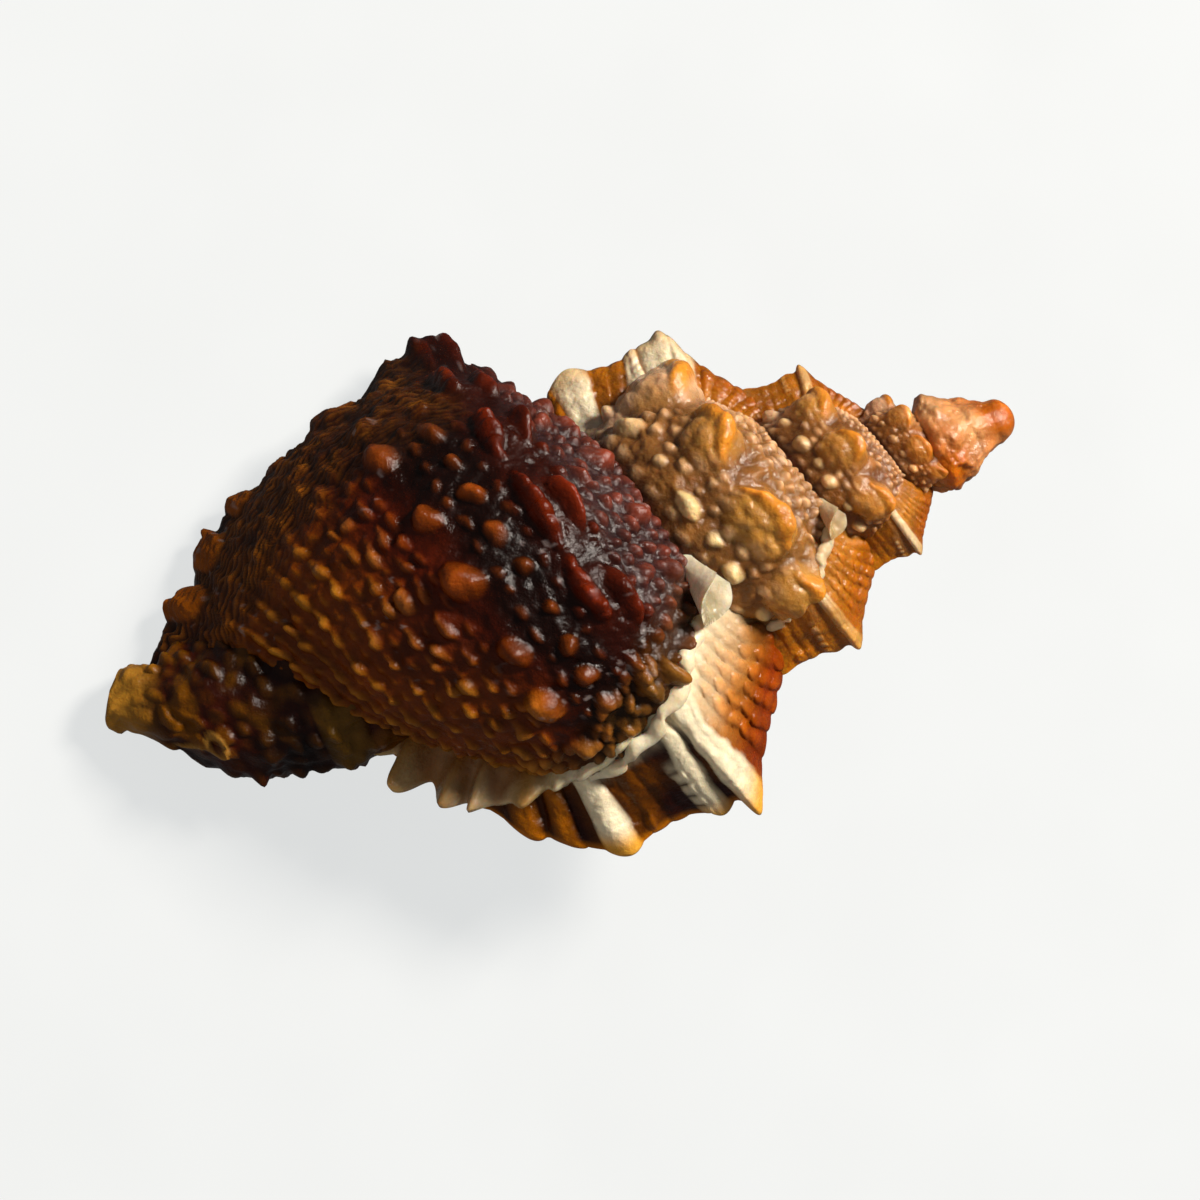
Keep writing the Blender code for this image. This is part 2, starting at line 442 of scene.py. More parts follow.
def lip_zone(angle, along):
    """Where fine growth threads cover the beads, between the last knobs and the lip."""
    return ease(-58.0, -34.0, angle + 0.5 * (along - 20.0)) * ease(9.5, 13.0, along)


def threads(angle, along, own):
    """Growth threads that run along the lip, wavy and a little uneven, from 0 to 1."""
    arc = np.radians(angle) * radius_at(along)
    wave = arc + 0.42 * noise(own, 1.5, 3) + 0.2 * noise(own, 0.6, 4)
    return np.abs(np.sin(math.pi * wave / THREAD)) * (0.65 + 0.35 * noise(own, 0.8, 8))


print("threads near the lip are", THREAD, "mm apart and", THREAD_HEIGHT, "mm high")

# %% Where the last half whorl starts and how its lip flares
CORD_SPACING = 2.5
LAP_EDGE = [(-2.0, -121.0), (4.0, -127.0), (9.0, -138.0), (13.8, -150.0), (17.7, -161.5),
            (22.0, -173.0), (30.0, -180.0), (41.0, -180.0)]
LAST_VARIX = [(26.5, 9.3), (29.5, 13.6), (32.5, 18.0), (36.2, 18.2), (38.5, 16.4),
              (41.0, 15.5), (47.0, 13.6), (51.5, 10.3), (54.0, 6.2), (56.5, 1.5)]
LIP_ANGLE = 14.0
LIP_TAPER = 1.6
LOBE_SPACING = 4.1
LIP_KNOBS = ((39.8, 0.7), (45.2, 0.7), (48.3, 1.1), (51.3, 1.35), (53.9, 1.6))


def scallop(along):
    """0 on each cord and 1 half way to the next."""
    return np.abs(np.sin(math.pi * (along - SHOULDER) / CORD_SPACING))


def wavering(along):
    """Place along a lip, shifted a little so that its lobes and pleats are uneven."""
    return along + 0.5 * np.sin(0.9 * along)


def lap_edge(along):
    """The angle at which the last half whorl starts, scalloped by its cords."""
    return through(LAP_EDGE, along) - 1.4 * scallop(along)


def lip_height(along):
    """How far the last varix stands out from the whorl, in lobes at the ends of cords."""
    station = station_at(along)
    rise = np.maximum(0.0, through(LAST_VARIX, station) - radius_at(along))
    lobe = np.cos(math.pi * (wavering(along) - SHOULDER) / LOBE_SPACING) ** 2
    lobe = np.clip(3.0 * lobe, 0.0, 1.0)
    return rise * (0.76 + 0.26 * ease(0.0, 1.0, lobe) + 0.03 * np.sin(2.3 * along))


def lobe_knobs(angle, along):
    """Height in mm of the blunt square knobs on the crest of the last lip."""
    station = station_at(along)
    height = np.zeros(station.shape)
    for at, size in LIP_KNOBS:
        ahead = (angle + 3.0) * np.interp(at, STATION, RADIUS) * math.pi / HALF_TURN / (1.2 * size)
        across = (along - np.interp(at, STATION, WALKED)) / size
        inside = np.maximum(0.0, 1.0 - np.abs(across) ** 3 - np.abs(ahead) ** 3)
        height = np.maximum(height, 0.5 * size * inside ** 0.6)
    return height


print("the lip stands out up to", round(lip_height(np.arange(10.0, 30.0)).max(), 1), "mm")


# %% Places on a whorl
def whorl(angle, along, height, rise=0.0, drawn_in=1.0):
    """Places on a whorl: height stands on the section, rise is straight out from the axis."""
    size = growth(angle)
    station = size * (station_at(along)
                      + height * np.interp(along, WALKED, NORMAL_ALONG))
    radius = size * (radius_at(along)
                     + height * np.interp(along, WALKED, NORMAL_OUT) + rise)
    return placed(station, radius * drawn_in, angle)


def own_places(angle, along):
    """Places that turn with the shell, in millimetres at their real size, for noise."""
    return whorl(angle, along, 0.0) / MM


print("the top of the back is", round(own_places(-90.0, 15.0)[2], 1), "mm above the table")

# %% [markdown]
# ## Colours
#
# The wall's pigment lies in bands along the spiral: grey-purple on the ramp, dark red on
# the shoulder, almost black between the knobs, and amber towards the front. Beads are
# clearer and paler than the wall between them. Their tops are also painted lighter and
# warmer, as a painted glow and highlight, and hollows get painted shade. In the paint,
# `ease(low, high, along)` says between which millimetres from the suture one colour gives
# way to the next, and a share of noise makes the border uneven.

# %% Pigments of the last whorl
RAMP = linear("#36201f")
RAMP_BEAD = linear("#7c3826")
RAMP_CHALK = linear("#8a7c7a")
SHOULDER_RED = linear("#280a04")
NODULE_RED = linear("#642212")
GAP_BROWN = linear("#160502")
KNOB_ORANGE = linear("#904822")
MIDDLE = linear("#4c1606")
MIDDLE_BEAD = linear("#a8663a")
FRONT_AMBER = linear("#70320a")
FRONT_BEAD = linear("#b8863c")
THREAD_DARK = linear("#260c04")
THREAD_OCHRE = linear("#a8682c")
OLIVE = linear("#7a5a24")
EDGE_BEAD = linear("#b88442")
CREAM = linear("#cdb88a")
WHITE = linear("#d8ccb2")
LOBE_AMBER = linear("#7c4214")
print("the darkest pigment reflects", round(float(GAP_BROWN.mean()), 4), "of the light")


# %% Where they lie
def body_paint(angle, along, height, bead, own, lap):
    """The pigment of the last whorl, with painted shade in its hollows and a painted glow on its
    bead tops; lap is the angle at which its growth starts.
    """
    patch = noise(own, 5.0, 11)
    fleck = noise(own, 1.2, 12)
    forward = ease(18.5, 28.0, along + 3.0 * patch - 0.05 * (angle + 90.0))
    ground = paint(RAMP, (SHOULDER_RED, ease(6.0, 7.8, along + 0.6 * fleck)),
                   (GAP_BROWN, ease(11.0, 12.4, along + 0.5 * fleck)),
                   (MIDDLE, ease(15.0, 20.0, along + 1.5 * patch)), (FRONT_AMBER, forward))
    crown = paint(RAMP_BEAD, (NODULE_RED, ease(6.4, 7.6, along)),
                  (KNOB_ORANGE, ease(11.4, 12.6, along)),
                  (MIDDLE_BEAD, ease(19.0, 21.5, along)), (FRONT_BEAD, forward))
    chalk = ease(0.1, 0.6, noise(own, 2.6, 13) + 0.3 * fleck)
    scratch = ease(0.1, 0.0, np.abs(noise(own, 0.7, 10) + 0.3 * noise(own, 0.3, 20)))
    near_start = ease(24.0, 5.0, angle - lap + 3.0 * fleck)
    line = threads(angle, along, own)
    combed = blend(THREAD_DARK, THREAD_OCHRE, line ** 2 * (0.75 + 0.5 * patch))
    knob = lobe_knobs(angle, along)
    # Painted shade: the ground between the knobs on the last lip's crest is darkened.
    painted_valley_shade = ease(0.3, 0.0, knob) * ease(-14.0, -6.0, angle)
    dust = ease(0.62, 0.72, noise(own, 0.42, 56)) * ease(0.0, 0.5, noise(own, 3.3, 57))
    # Bead colour is laid on by bead height, so bead tops come out lighter and warmer. This is
    # partly the beads' own paler pigment and partly a painted glow and highlight.
    colour = paint(ground, (crown, bead * (0.85 + 0.35 * fleck)),
                   (RAMP_CHALK, scratch * (0.1 + 0.35 * chalk) * ease(8.5, 6.5, along)),
                   (OLIVE, 0.4 * near_start * (0.3 + 0.7 * bead)),
                   (EDGE_BEAD, 0.8 * near_start * bead ** 1.4 * ease(7.0, 9.5, along)),
                   (combed, 0.85 * lip_zone(angle, along) * (1.0 - 0.4 * bead)),
                   (LOBE_AMBER, 2.6 * knob))
    colour = blend(colour * (1.0 - 0.4 * painted_valley_shade)[..., None], RAMP_CHALK, 0.55 * dust)
    # Painted shade: the colour is darkened where the relief is low, between the beads and where
    # the wall dips under the older lip.
    painted_cavity_shade = 0.65 + 0.35 * ease(-0.15, 0.45, height)
    grain = 0.22 * noise(own, 0.5, 14)
    return colour * (painted_cavity_shade * (1.0 + 0.3 * fleck + grain))[..., None]


print("paint follows the bands, the beads and the growth threads")

# %% [markdown]
# ## Materials
#
# Shell is aragonite: fine white crystals in a little protein, stained by pigment. A
# polished or oiled shell has a thin clear gloss, and light goes a short way into it, so
# beads glow at their edges. Enamel is the same mineral laid down smooth and unstained.

# %% A node helper and the two finishes of shell
def add(tree, kind, settings=None, links=None):
    """Adds a node, sets its properties or input values, and links its inputs."""
    node = tree.nodes.new(kind)
    for key, value in (settings or {}).items():
        if isinstance(key, str) and hasattr(node, key):
            setattr(node, key, value)
        else:
            node.inputs[key].default_value = value
    for key, output in (links or {}).items():
        tree.links.new(output, node.inputs[key])
    return node


def shell_material(name, roughness, coat, depth, grain):
    """Aragonite: tinted by the piece's paint, finely grained, with a clear gloss."""
    material = bpy.data.materials.new(name)
    material.use_nodes = True
    tree = material.node_tree
    shader = tree.nodes["Principled BSDF"]
    place = add(tree, "ShaderNodeTexCoord").outputs["Object"]
    tint = add(tree, "ShaderNodeAttribute", {"attribute_name": "tint"})
    gloss = add(tree, "ShaderNodeAttribute", {"attribute_name": "gloss"})
    cloud = add(tree, "ShaderNodeTexNoise", {"Scale": 1100.0, "Detail": 6.0, "Roughness": 0.6},
                {"Vector": place})
    crystal = add(tree, "ShaderNodeTexNoise", {"Scale": 3600.0, "Detail": 4.0},
                  {"Vector": place})
    value = add(tree, "ShaderNodeMapRange", {"To Min": 0.6, "To Max": 1.45},
                {"Value": cloud.outputs["Fac"]})
    colour = add(tree, "ShaderNodeHueSaturation", {"Saturation": 1.05},
                 {"Color": tint.outputs["Color"], "Value": value.outputs["Result"]})
    tree.links.new(colour.outputs["Color"], shader.inputs["Base Color"])
    rough = add(tree, "ShaderNodeMapRange", {"To Min": roughness * 0.6, "To Max": roughness * 1.6},
                {"Value": crystal.outputs["Fac"]})
    shaded = add(tree, "ShaderNodeMath", {"operation": "MULTIPLY"},
                 {0: rough.outputs["Result"], 1: gloss.outputs["Fac"]})
    tree.links.new(shaded.outputs["Value"], shader.inputs["Roughness"])
    coarse = add(tree, "ShaderNodeBump", {"Strength": 0.7, "Distance": 0.34 * MM * grain},
                 {"Height": cloud.outputs["Fac"]})
    fine = add(tree, "ShaderNodeBump", {"Strength": 0.6, "Distance": 0.09 * MM * grain},
               {"Height": crystal.outputs["Fac"], "Normal": coarse.outputs["Normal"]})
    tree.links.new(fine.outputs["Normal"], shader.inputs["Normal"])
    tree.links.new(fine.outputs["Normal"], shader.inputs["Coat Normal"])
    for socket, level in (("IOR", 1.5), ("Specular IOR Level", 0.15), ("Coat Weight", coat),
                          ("Coat Roughness", 0.14), ("Subsurface Weight", depth),
                          ("Subsurface Radius", (1.0, 0.4, 0.15)),
                          ("Subsurface Scale", 0.9 * MM)):
        shader.inputs[socket].default_value = level
    return material


aragonite = shell_material("stained_aragonite", 0.3, 0.2, 0.15, 0.75)
worn_aragonite = shell_material("worn_aragonite", 0.3, 0.75, 0.35, 1.0)
enamel = shell_material("white_shell_enamel", 0.3, 0.4, 0.4, 0.5)
print("finishes:", [finish.name for finish in (aragonite, worn_aragonite, enamel)])

# %% [markdown]
# ## The last half whorl
#
# This is the growth from the first old lip to the last one. Its grid runs along the
# spiral, over the lip's crest, down its face and a short way back inside, so the wall has
# its real thickness at the lip.

# %% The last half whorl and its lip
WALL = 1.5
WHORL_TOP = -0.8
WHORL_BOTTOM = 38.6
WHORL_START = -188.0
BODY_ROWS = 236
OUTER_COLUMNS = 330
FACE_COLUMNS = 26
INNER_COLUMNS = 40


def tucked(count, low, high, turned_in=3):
    """Row positions with a few more at each end that are drawn in towards the axis."""
    inner = np.linspace(low, high, count - 2 * turned_in)
    position = np.concatenate([np.full(turned_in, low), inner, np.full(turned_in, high)])
    share = np.ones(count)
    share[:turned_in] = np.linspace(0.5, 0.9, turned_in)
    share[-turned_in:] = np.linspace(0.9, 0.5, turned_in)
    return position, share


def lapped(angle, along, relief, lap):
    """Relief that dips under the older lip before its start and rolls up just after."""
    under = ease(1.2, -1.6, angle - lap)
    roll = np.exp(-((angle - lap - 2.2) / 2.4) ** 2) * scallop(along)
    return relief + 0.35 * roll - 2.2 * under


def wall_inside(angle):
    """The wall's inner side, as a height: it is thinner at the lip than deep inside."""
    return -WALL - 0.7 * ease(LIP_REACH, -10.0, angle)


def last_half_whorl():
    rows, draw_rows = tucked(BODY_ROWS, WHORL_TOP, WHORL_BOTTOM)
    outer = np.linspace(WHORL_START, 0.0, OUTER_COLUMNS)
    face = np.linspace(0.0, 1.0, FACE_COLUMNS + 1)[1:]
    inner = np.linspace(LIP_REACH, WHORL_START, INNER_COLUMNS + 1)[1:]
    over_lip = LIP_REACH * np.sin(face * math.pi / 2.0)
    along, angle = grid(rows, np.concatenate([outer, over_lip, inner]))
    rise_at_lip = lip_height(along)
    height = np.zeros(along.shape)
    rise = np.zeros(along.shape)
    a, b = OUTER_COLUMNS, OUTER_COLUMNS + FACE_COLUMNS
    own = own_places(angle, along)
    lap = lap_edge(along)
    relief, bead = body_relief(angle, along, own, lap)
    share = np.maximum(0.0, 1.0 + angle / LIP_ANGLE) ** LIP_TAPER
    relief = relief + lobe_knobs(angle, along)
    height[:, :a] = lapped(angle, along, relief, lap)[:, :a]
    rise[:, :a] = (rise_at_lip * share)[:, :a]
    fall = face ** 1.7
    rise[:, a:b] = rise_at_lip[:, a:b] * (1.0 - fall) + 0.25 * np.sin(face * math.pi)
    height[:, a:b] = relief[:, a - 1:a] * (1.0 - face) ** 2 - WALL * fall
    height[:, b:] = wall_inside(angle[:, b:])
    height[:, -1] = height[:, 0]
    places = whorl(angle, along, height, rise, draw_rows[:, None])
    tint = body_paint(angle, along, height, bead, own, lap)
    on_face = np.zeros(along.shape)
    on_face[:, a:b] = ease(0.1, 0.6, face)
    on_face[:, b:] = 1.0
    spots = ease(0.1, 0.5, np.cos(2.0 * math.pi * along / LOBE_SPACING) + 0.5 * noise(own, 1.5, 8))
    tint = blend(tint, blend(CREAM, KNOB_ORANGE, 0.5 * spots), on_face)
    gloss = 1.0 + 0.2 * lip_zone(angle, along) - 0.3 * on_face
    gloss = gloss + 0.4 * noise(own, 1.4, 9)
    sheet("last_half_whorl", places, tint, gloss, aragonite)


last_half_whorl()

# %% [markdown]
# ## The half whorl before it
#
# It starts at the lip before and makes the belly of the shell on the underside. Only its
# first part shows beside the spire, but the piece is whole, since the last whorl rests on
# it and the aperture looks in past it.

# %% The belly
BELLY_ROWS = 210
BELLY_START = -368.0
BELLY_END = -176.0
CALLUS_COAT = 0.3
CALLUS_SMOOTHING = 0.75


def callus_edge(along):
    """The angle at which the enamel that glazes this whorl thins out."""
    wave = 4.0 * np.sin(0.55 * along) + 1.5 * np.sin(1.7 * along + 1.0)
    return -328.0 - 8.0 * ease(24.0, 36.0, along) + wave


def belly():
    rows, draw_rows = tucked(BELLY_ROWS, WHORL_TOP, WHORL_BOTTOM)
    columns, draw_columns = tucked(OUTER_COLUMNS, BELLY_START, BELLY_END)
    along, angle = grid(rows, columns)
    own = own_places(angle, along)
    lap = lap_edge(along) - HALF_TURN
    relief, bead = body_relief(angle, along, own, lap)
    glazed = ease(0.0, -6.0, angle - callus_edge(along)) * ease(18.0, 20.0, along)
    relief = relief * (1.0 - CALLUS_SMOOTHING * glazed)
    places = whorl(angle, along, lapped(angle, along, relief, lap),
                   drawn_in=draw_rows[:, None] * draw_columns)
    tint = body_paint(angle, along, relief, bead, own, lap)
    tint = blend(tint, OLIVE, 0.25 * ease(-300.0, -350.0, angle))
    sheet("belly_half_whorl", places, tint, 1.0, aragonite)


belly()

# %% [markdown]
# ## The spire
#
# Older whorls carry broad humps instead of knobs, each with a keel on the side of the
# apex. They are worn and tan, and what pigment is left is caramel and orange.

# %% Relief and paint of the spire
HUMP_SPACING = 42.0
HUMP_START = -462.0
HUMPS = (11.2, HUMP_SPACING, 3.2, 4.6, 4.9, 61, HUMP_START, 1.15)
KEEL_PLACE = 9.5
SPIRE_ROWS = (
    *((1.3 + 1.5 * i, 7.2 + i, 0.55, 0.72, 0.8, 62 + i, 3.0 * i, 1.2) for i in range(4)),
    (11.6, 8.0, 0.3, 0.7, 0.9, 75, 0.0, 1.2), (13.2, 10.5, 0.4, 0.8, 1.1, 71, 0.0, 1.2),
    (15.0, 11.0, 0.55, 0.9, 1.1, 72, 0.0, 1.2),
    (17.3, HUMP_SPACING, 1.6, 1.6, 1.9, 73, HUMP_START + 21.0, 1.0),
    (16.9, HUMP_SPACING, 0.9, 1.1, 1.3, 77, HUMP_START, 1.0),
    (19.8, 12.0, 0.6, 0.9, 1.2, 74, 0.0, 1.2), (21.8, 9.0, 0.5, 0.8, 1.0, 76, 0.0, 1.2))
TAN = linear("#8e6136")
TAN_BEAD = linear("#d8b288")
HUMP_AMBER = linear("#ba8642")
KEEL_ORANGE = linear("#ca863c")
PALE_KNOB = linear("#dcc48e")
PINK_CREAM = linear("#d0ac90")
SUTURE_SHADE = linear("#3c1a0a")
APEX_ORANGE = linear("#b46024")
APEX_PINK = linear("#c49468")


def keels(angle, along):
    """A curved keel on the side of every hump that faces the apex."""
    turn = (angle - HUMP_START) / HUMP_SPACING
    middle = turn - np.round(turn)
    off = middle * HUMP_SPACING * radius_at(8.5) * math.pi / HALF_TURN
    bow = along - KEEL_PLACE - 0.09 * off ** 2
    wide = 1.35 - 0.05 * off ** 2
    crest = np.maximum(0.0, 1.0 - (bow / np.maximum(wide, 0.3)) ** 2)
    return 1.35 * crest ** 1.1 * ease(4.4, 2.2, np.abs(off))


def spire_relief(angle, along, own):
    """Height of an old whorl's sculpture, then its hump, keel and bead shares."""
    angle, along = uneven(angle, along, own, 1.7)
    hump = bead_row(angle, along, *HUMPS)
    keel = keels(angle, along)
    bead = bead_rows(angle, along, SPIRE_ROWS) * (1.0 - 0.5 * np.clip(hump / 2.0, 0.0, 1.0))
    lumps = lumpy(own, (0.5, 1.5, 15), (0.32, 0.7, 16), (0.12, 0.33, 14))
    return (0.85 * hump + bead + keel + lumps, np.clip(hump / 1.8, 0, 1),
            np.clip(keel / 0.9, 0, 1), np.clip(bead / 0.8, 0, 1))


def spire_paint(angle, along, height, hump, keel, bead, own, last):
    """The worn pigment, with painted shade at the sutures and in hollows; last is the angle of the
    lip that ends this half whorl.
    """
    patch = noise(own, 3.0, 17)
    fleck = noise(own, 0.9, 18)
    age = ease(-640.0, -1100.0, angle)
    pale = ease(15.2, 16.6, along) * ease(19.4, 18.2, along) * bead
    # Painted shade: darker towards both sutures and where the relief is low.
    deep = ease(1.7, -0.4, along) + 0.8 * ease(18.4, 21.4, along) + 0.6 * ease(0.5, -0.3, height)
    colour = paint(TAN, (HUMP_AMBER, 0.6 * hump + 0.5 * patch),
                   (TAN_BEAD, bead * (0.8 + 0.4 * fleck) * (1.0 - 0.4 * hump)),
                   (PALE_KNOB, pale * (0.7 + 0.8 * patch)),
                   (PINK_CREAM, 0.7 * ease(last - 42.0, last - 14.0, angle + 6.0 * fleck)),
                   (KEEL_ORANGE, keel), (APEX_ORANGE, age * (0.5 + 0.4 * patch)),
                   (APEX_PINK, age * ease(0.0, 0.6, fleck) * 0.5), (SUTURE_SHADE, 0.85 * deep))
    return colour * (1.0 + 0.24 * fleck + 0.1 * noise(own, 0.4, 19))[..., None]


print("humps are", round(HUMP_SPACING * mm_per_degree(HUMPS[0]), 1), "mm apart at full size")

# %% The spire, one half whorl after another
SPIRE_HALVES = range(2, 9)
SPIRE_TOP = -0.9
ROWS_PER_MM = 6.0
SPIRE_COLUMNS = 260
TUCKED_UNDER = 8.0
RUN_ON = 3.0


def spire_half_whorl(half):
    """Small old whorls take fewer points, and their covered front is left out."""
    detail = 1.0 if half < 4 else 0.72 if half < 6 else 0.5
    front = 36.0 if half < 4 else 25.0
    rows, draw_rows = tucked(int(ROWS_PER_MM * front * detail), SPIRE_TOP, front)
    end = -HALF_TURN * half
    columns, draw_columns = tucked(int(SPIRE_COLUMNS * detail),
                                   end - HALF_TURN - TUCKED_UNDER, end + RUN_ON)
    along, angle = grid(rows, columns)
    own = own_places(angle, along)
    relief, hump, keel, bead = spire_relief(angle, along, own)
    relief = relief * (0.3 + 0.7 * ease(21.0, 17.5, along))
    lap = lap_edge(along) + end
    places = whorl(angle, along, lapped(angle, along, relief, lap),
                   drawn_in=draw_rows[:, None] * draw_columns)
    tint = spire_paint(angle, along, relief, hump, keel, bead, own, end)
    sheet(f"spire_half_whorl_{half}", places, tint, 0.9 - 0.3 * hump, worn_aragonite)


for half in SPIRE_HALVES:
    spire_half_whorl(half)

# %% [markdown]
# ## The apex
#
# The first whorls are worn to a blunt cone, with only faint turns left to see.

# %% The worn apex
APEX_RADIUS = 1.5
APEX_SLOPE = 0.5
APEX_LENGTH = 7.2


def apex():
    steps = np.linspace(0.0, 1.0, 90) ** 1.3 * APEX_LENGTH
    turns = np.linspace(0.0, -FULL_TURN, 161)
    station, angle = grid(steps, turns)
    dome = np.sqrt(np.maximum(0.0, APEX_RADIUS ** 2 - (station - APEX_RADIUS) ** 2))
    cone = APEX_RADIUS + APEX_SLOPE * (station - APEX_RADIUS)
    radius = np.where(station < APEX_RADIUS, dome, cone)
    radius = radius * ease(APEX_LENGTH + 0.01, APEX_LENGTH - 2.4, station) ** 0.5
    turn = np.log(np.maximum(station, 0.3) / 16.0) / math.log(GROWTH_PER_TURN) - angle / FULL_TURN
    groove = np.abs(np.sin(math.pi * turn)) ** 0.5
    own = placed(station, radius, angle) / MM
    lumps = lumpy(own, (0.26, 1.5, 21), (0.24, 0.7, 22), (0.1, 0.28, 25))
    free = ease(0.6, 3.0, radius)
    radius = radius + free * (lumps + 0.2 * ease(1.8, 3.5, station) * (groove - 0.7))
    fleck = noise(own, 0.9, 23)
    tint = blend(APEX_PINK, APEX_ORANGE,
                 0.55 + 0.7 * noise(own, 2.0, 24) + 0.35 * ease(4.0, 1.0, station))
    # Painted shade: the tint is a little darker in the sunk grooves between the worn turns.
    tint = tint * (0.9 + 0.35 * fleck + 0.15 * groove)[..., None]
    sheet("worn_apex", placed(station, radius, angle), tint, 1.0, worn_aragonite)


apex()

# %% [markdown]
# ## The canal
#
# The front of the aperture draws out into a short canal for the snail's breathing tube.
# It is a bent cone with rough amber beads, open below along a narrow slit, and hollow at
# its blunt end. Inwards it goes on as the columella, the pillar of the shell, which is
# glazed and has low folds.

# %% Beads and what has settled on the canal
CANAL_DARK = linear("#1c0803")
CANAL_BEAD = linear("#6e4414")
TUBE_TAN = linear("#946c34")
PLATE_OLIVE = linear("#684c1a")
COLUMELLA_START = 31.0
CANAL_BEAD_STEP = 1.35
SLIT_ANGLE = 78.0
SLIT_HALF_WIDTH = 0.75
FOLD_STEP = 1.9
TUBE_STATION = 54.5
TUBE_ANGLE = 229.0
PEG_STATION = 53.0
PEG_ANGLE = 189.0
PLATE_STATION = 46.8
OUTSIDE_ROWS = 170
MOUTH_ROWS = 25


def ridge_at(distance, half_width):
    return np.sqrt(np.maximum(0.0, 1.0 - (distance / half_width) ** 2))


def worm_tube(station, angle, base):
    """A little loop of chalky tube that some worm left on the canal, from 0 to 1."""
    ahead = station - TUBE_STATION
    aside = (angle - TUBE_ANGLE) * np.pi / HALF_TURN * base
    ring = np.hypot(ahead / 0.45 + 0.3 * aside, aside / 0.8)
    tail = ridge_at(aside + 0.75 * ahead - 0.2, 0.28)
    tail = tail * ease(0.5, 0.9, ahead) * ease(2.4, 1.9, ahead)
    return np.maximum(ridge_at(ring - 1.0, 0.38), tail)


def canal_beads(station, angle, base, own):
    """Rough beads in slanting rows that are closer together behind the tip."""
    beads = np.zeros(station.shape)
    for i, at in enumerate(np.arange(44.2, LENGTH, CANAL_BEAD_STEP)):
        slant = at + 0.9 * np.sin(np.radians(angle + 40.0)) + 0.5 * noise(own, 1.6, 81)
        spacing = 26.0 if at > 56.0 else 17.0
        turn = angle / spacing + 0.31 * i + 0.35 * noise(own, 1.5, 82)
        index = np.floor(turn)
        pick = scatter(index, 80 + i)
        off = (turn - index - 0.5 + 0.2 * (pick - 0.5)) * math.radians(spacing) * base
        reach = (off / (0.62 + 0.25 * pick)) ** 2 + ((station - slant) / 0.55) ** 2
        beads = tallest(beads, (0.08 + 0.42 * pick ** 2) * np.maximum(0.0, 1.0 - reach) ** 0.9)
    return beads


print("the canal is", round(LENGTH - COLUMELLA_START, 1), "mm long with its columella")


# %% The canal
def canal():
    outside = np.linspace(COLUMELLA_START, LENGTH, OUTSIDE_ROWS)
    mouth = np.linspace(0.0, 1.0, MOUTH_ROWS + 1)[1:]
    way_in = LENGTH + 0.25 * np.sin(math.pi * mouth) - 3.0 * mouth ** 2
    scale_line = np.concatenate([np.ones(OUTSIDE_ROWS),
                                 1.0 - 0.62 * np.sin(0.5 * math.pi * mouth)])
    station, angle = grid(np.concatenate([outside, way_in]), np.linspace(0.0, FULL_TURN, 211))
    base = through(CANAL_RADIUS, np.minimum(station, LENGTH))
    inside = np.zeros(station.shape)
    inside[OUTSIDE_ROWS:] = ease(0.0, 0.35, mouth)[:, None]
    skewed = station - 1.1 * ease(52.0, LENGTH, station) * np.cos(np.radians(angle))
    own = placed(station, base, angle) / MM
    lumps = lumpy(own, (0.42, 1.7, 25), (0.22, 0.7, 26))
    tube = worm_tube(station, angle, base)
    peg = np.exp(-((station - PEG_STATION) / 0.45) ** 2 - ((angle - PEG_ANGLE) / 6.0) ** 2)
    plate = ridge_at(station - PLATE_STATION, 1.5)
    plate = plate * ease(188.0, 200.0, angle) * ease(262.0, 240.0, angle)
    lumps = lumps + 0.28 * tube + 0.9 * peg + 0.5 * plate
    slit_off = (angle - SLIT_ANGLE + HALF_TURN) % FULL_TURN - HALF_TURN
    glazed = ease(50.0, 45.5, station + 1.8 * noise(own, 2.6, 83))
    glazed = glazed * ease(110.0, 70.0, np.abs(slit_off + 25.0))
    folds = 0.5 * np.abs(np.sin(math.pi * (station + 0.012 * angle) / FOLD_STEP)) ** 0.8
    beads = canal_beads(station, angle, base, own) * (1.0 - glazed)
    lumps = lumps * (1.0 - 0.7 * glazed) + folds * glazed
    slit = np.exp(-(np.radians(slit_off) * base / SLIT_HALF_WIDTH) ** 2)
    slit = slit * ease(46.0, 49.0, station)
    radius = base + (1.0 - inside) * (beads + lumps)
    radius = radius * scale_line[:, None] - (1.0 - inside) * slit * 0.45 * base
    patch = noise(own, 3.6, 27)
    lit = 0.45 + 0.4 * patch + 0.4 * ease(54.0, 58.0, station)
    colour = paint(CANAL_DARK, (MIDDLE, 0.25 + 0.6 * patch),
                   (CANAL_BEAD, 0.6 * ease(0.25, 0.6, noise(own, 1.5, 28))),
                   (CANAL_BEAD, np.clip(beads / 0.35, 0, 1) * lit),
                   (FRONT_BEAD, 0.6 * ease(56.5, LENGTH, station + 1.5 * patch)))
    shade = np.exp(-((station - 49.5) / 2.2) ** 2) * ease(90.0, 150.0, angle)
    colour = paint(colour * (1.0 - 0.7 * shade)[..., None],
                   (PLATE_OLIVE, plate * (0.6 + 0.5 * patch)), (TUBE_TAN, 0.9 * tube),
                   (CREAM, 0.8 * inside + 0.75 * slit + glazed))
    sheet("siphonal_canal", placed(skewed, radius, angle), colour, 1.0, aragonite)


canal()

# %% [markdown]
# ## The fins
#
# Twice a turn the snail stops and builds a thick flared lip. When it grows on, the old lip
# stays as a fin down each side of the shell. Strong ribs cross the fin and end in points at
# its edge. All fins have one shape at different sizes, so one function makes them: it
# leads from the foot of the fin up its front face, over the crest and down its back.

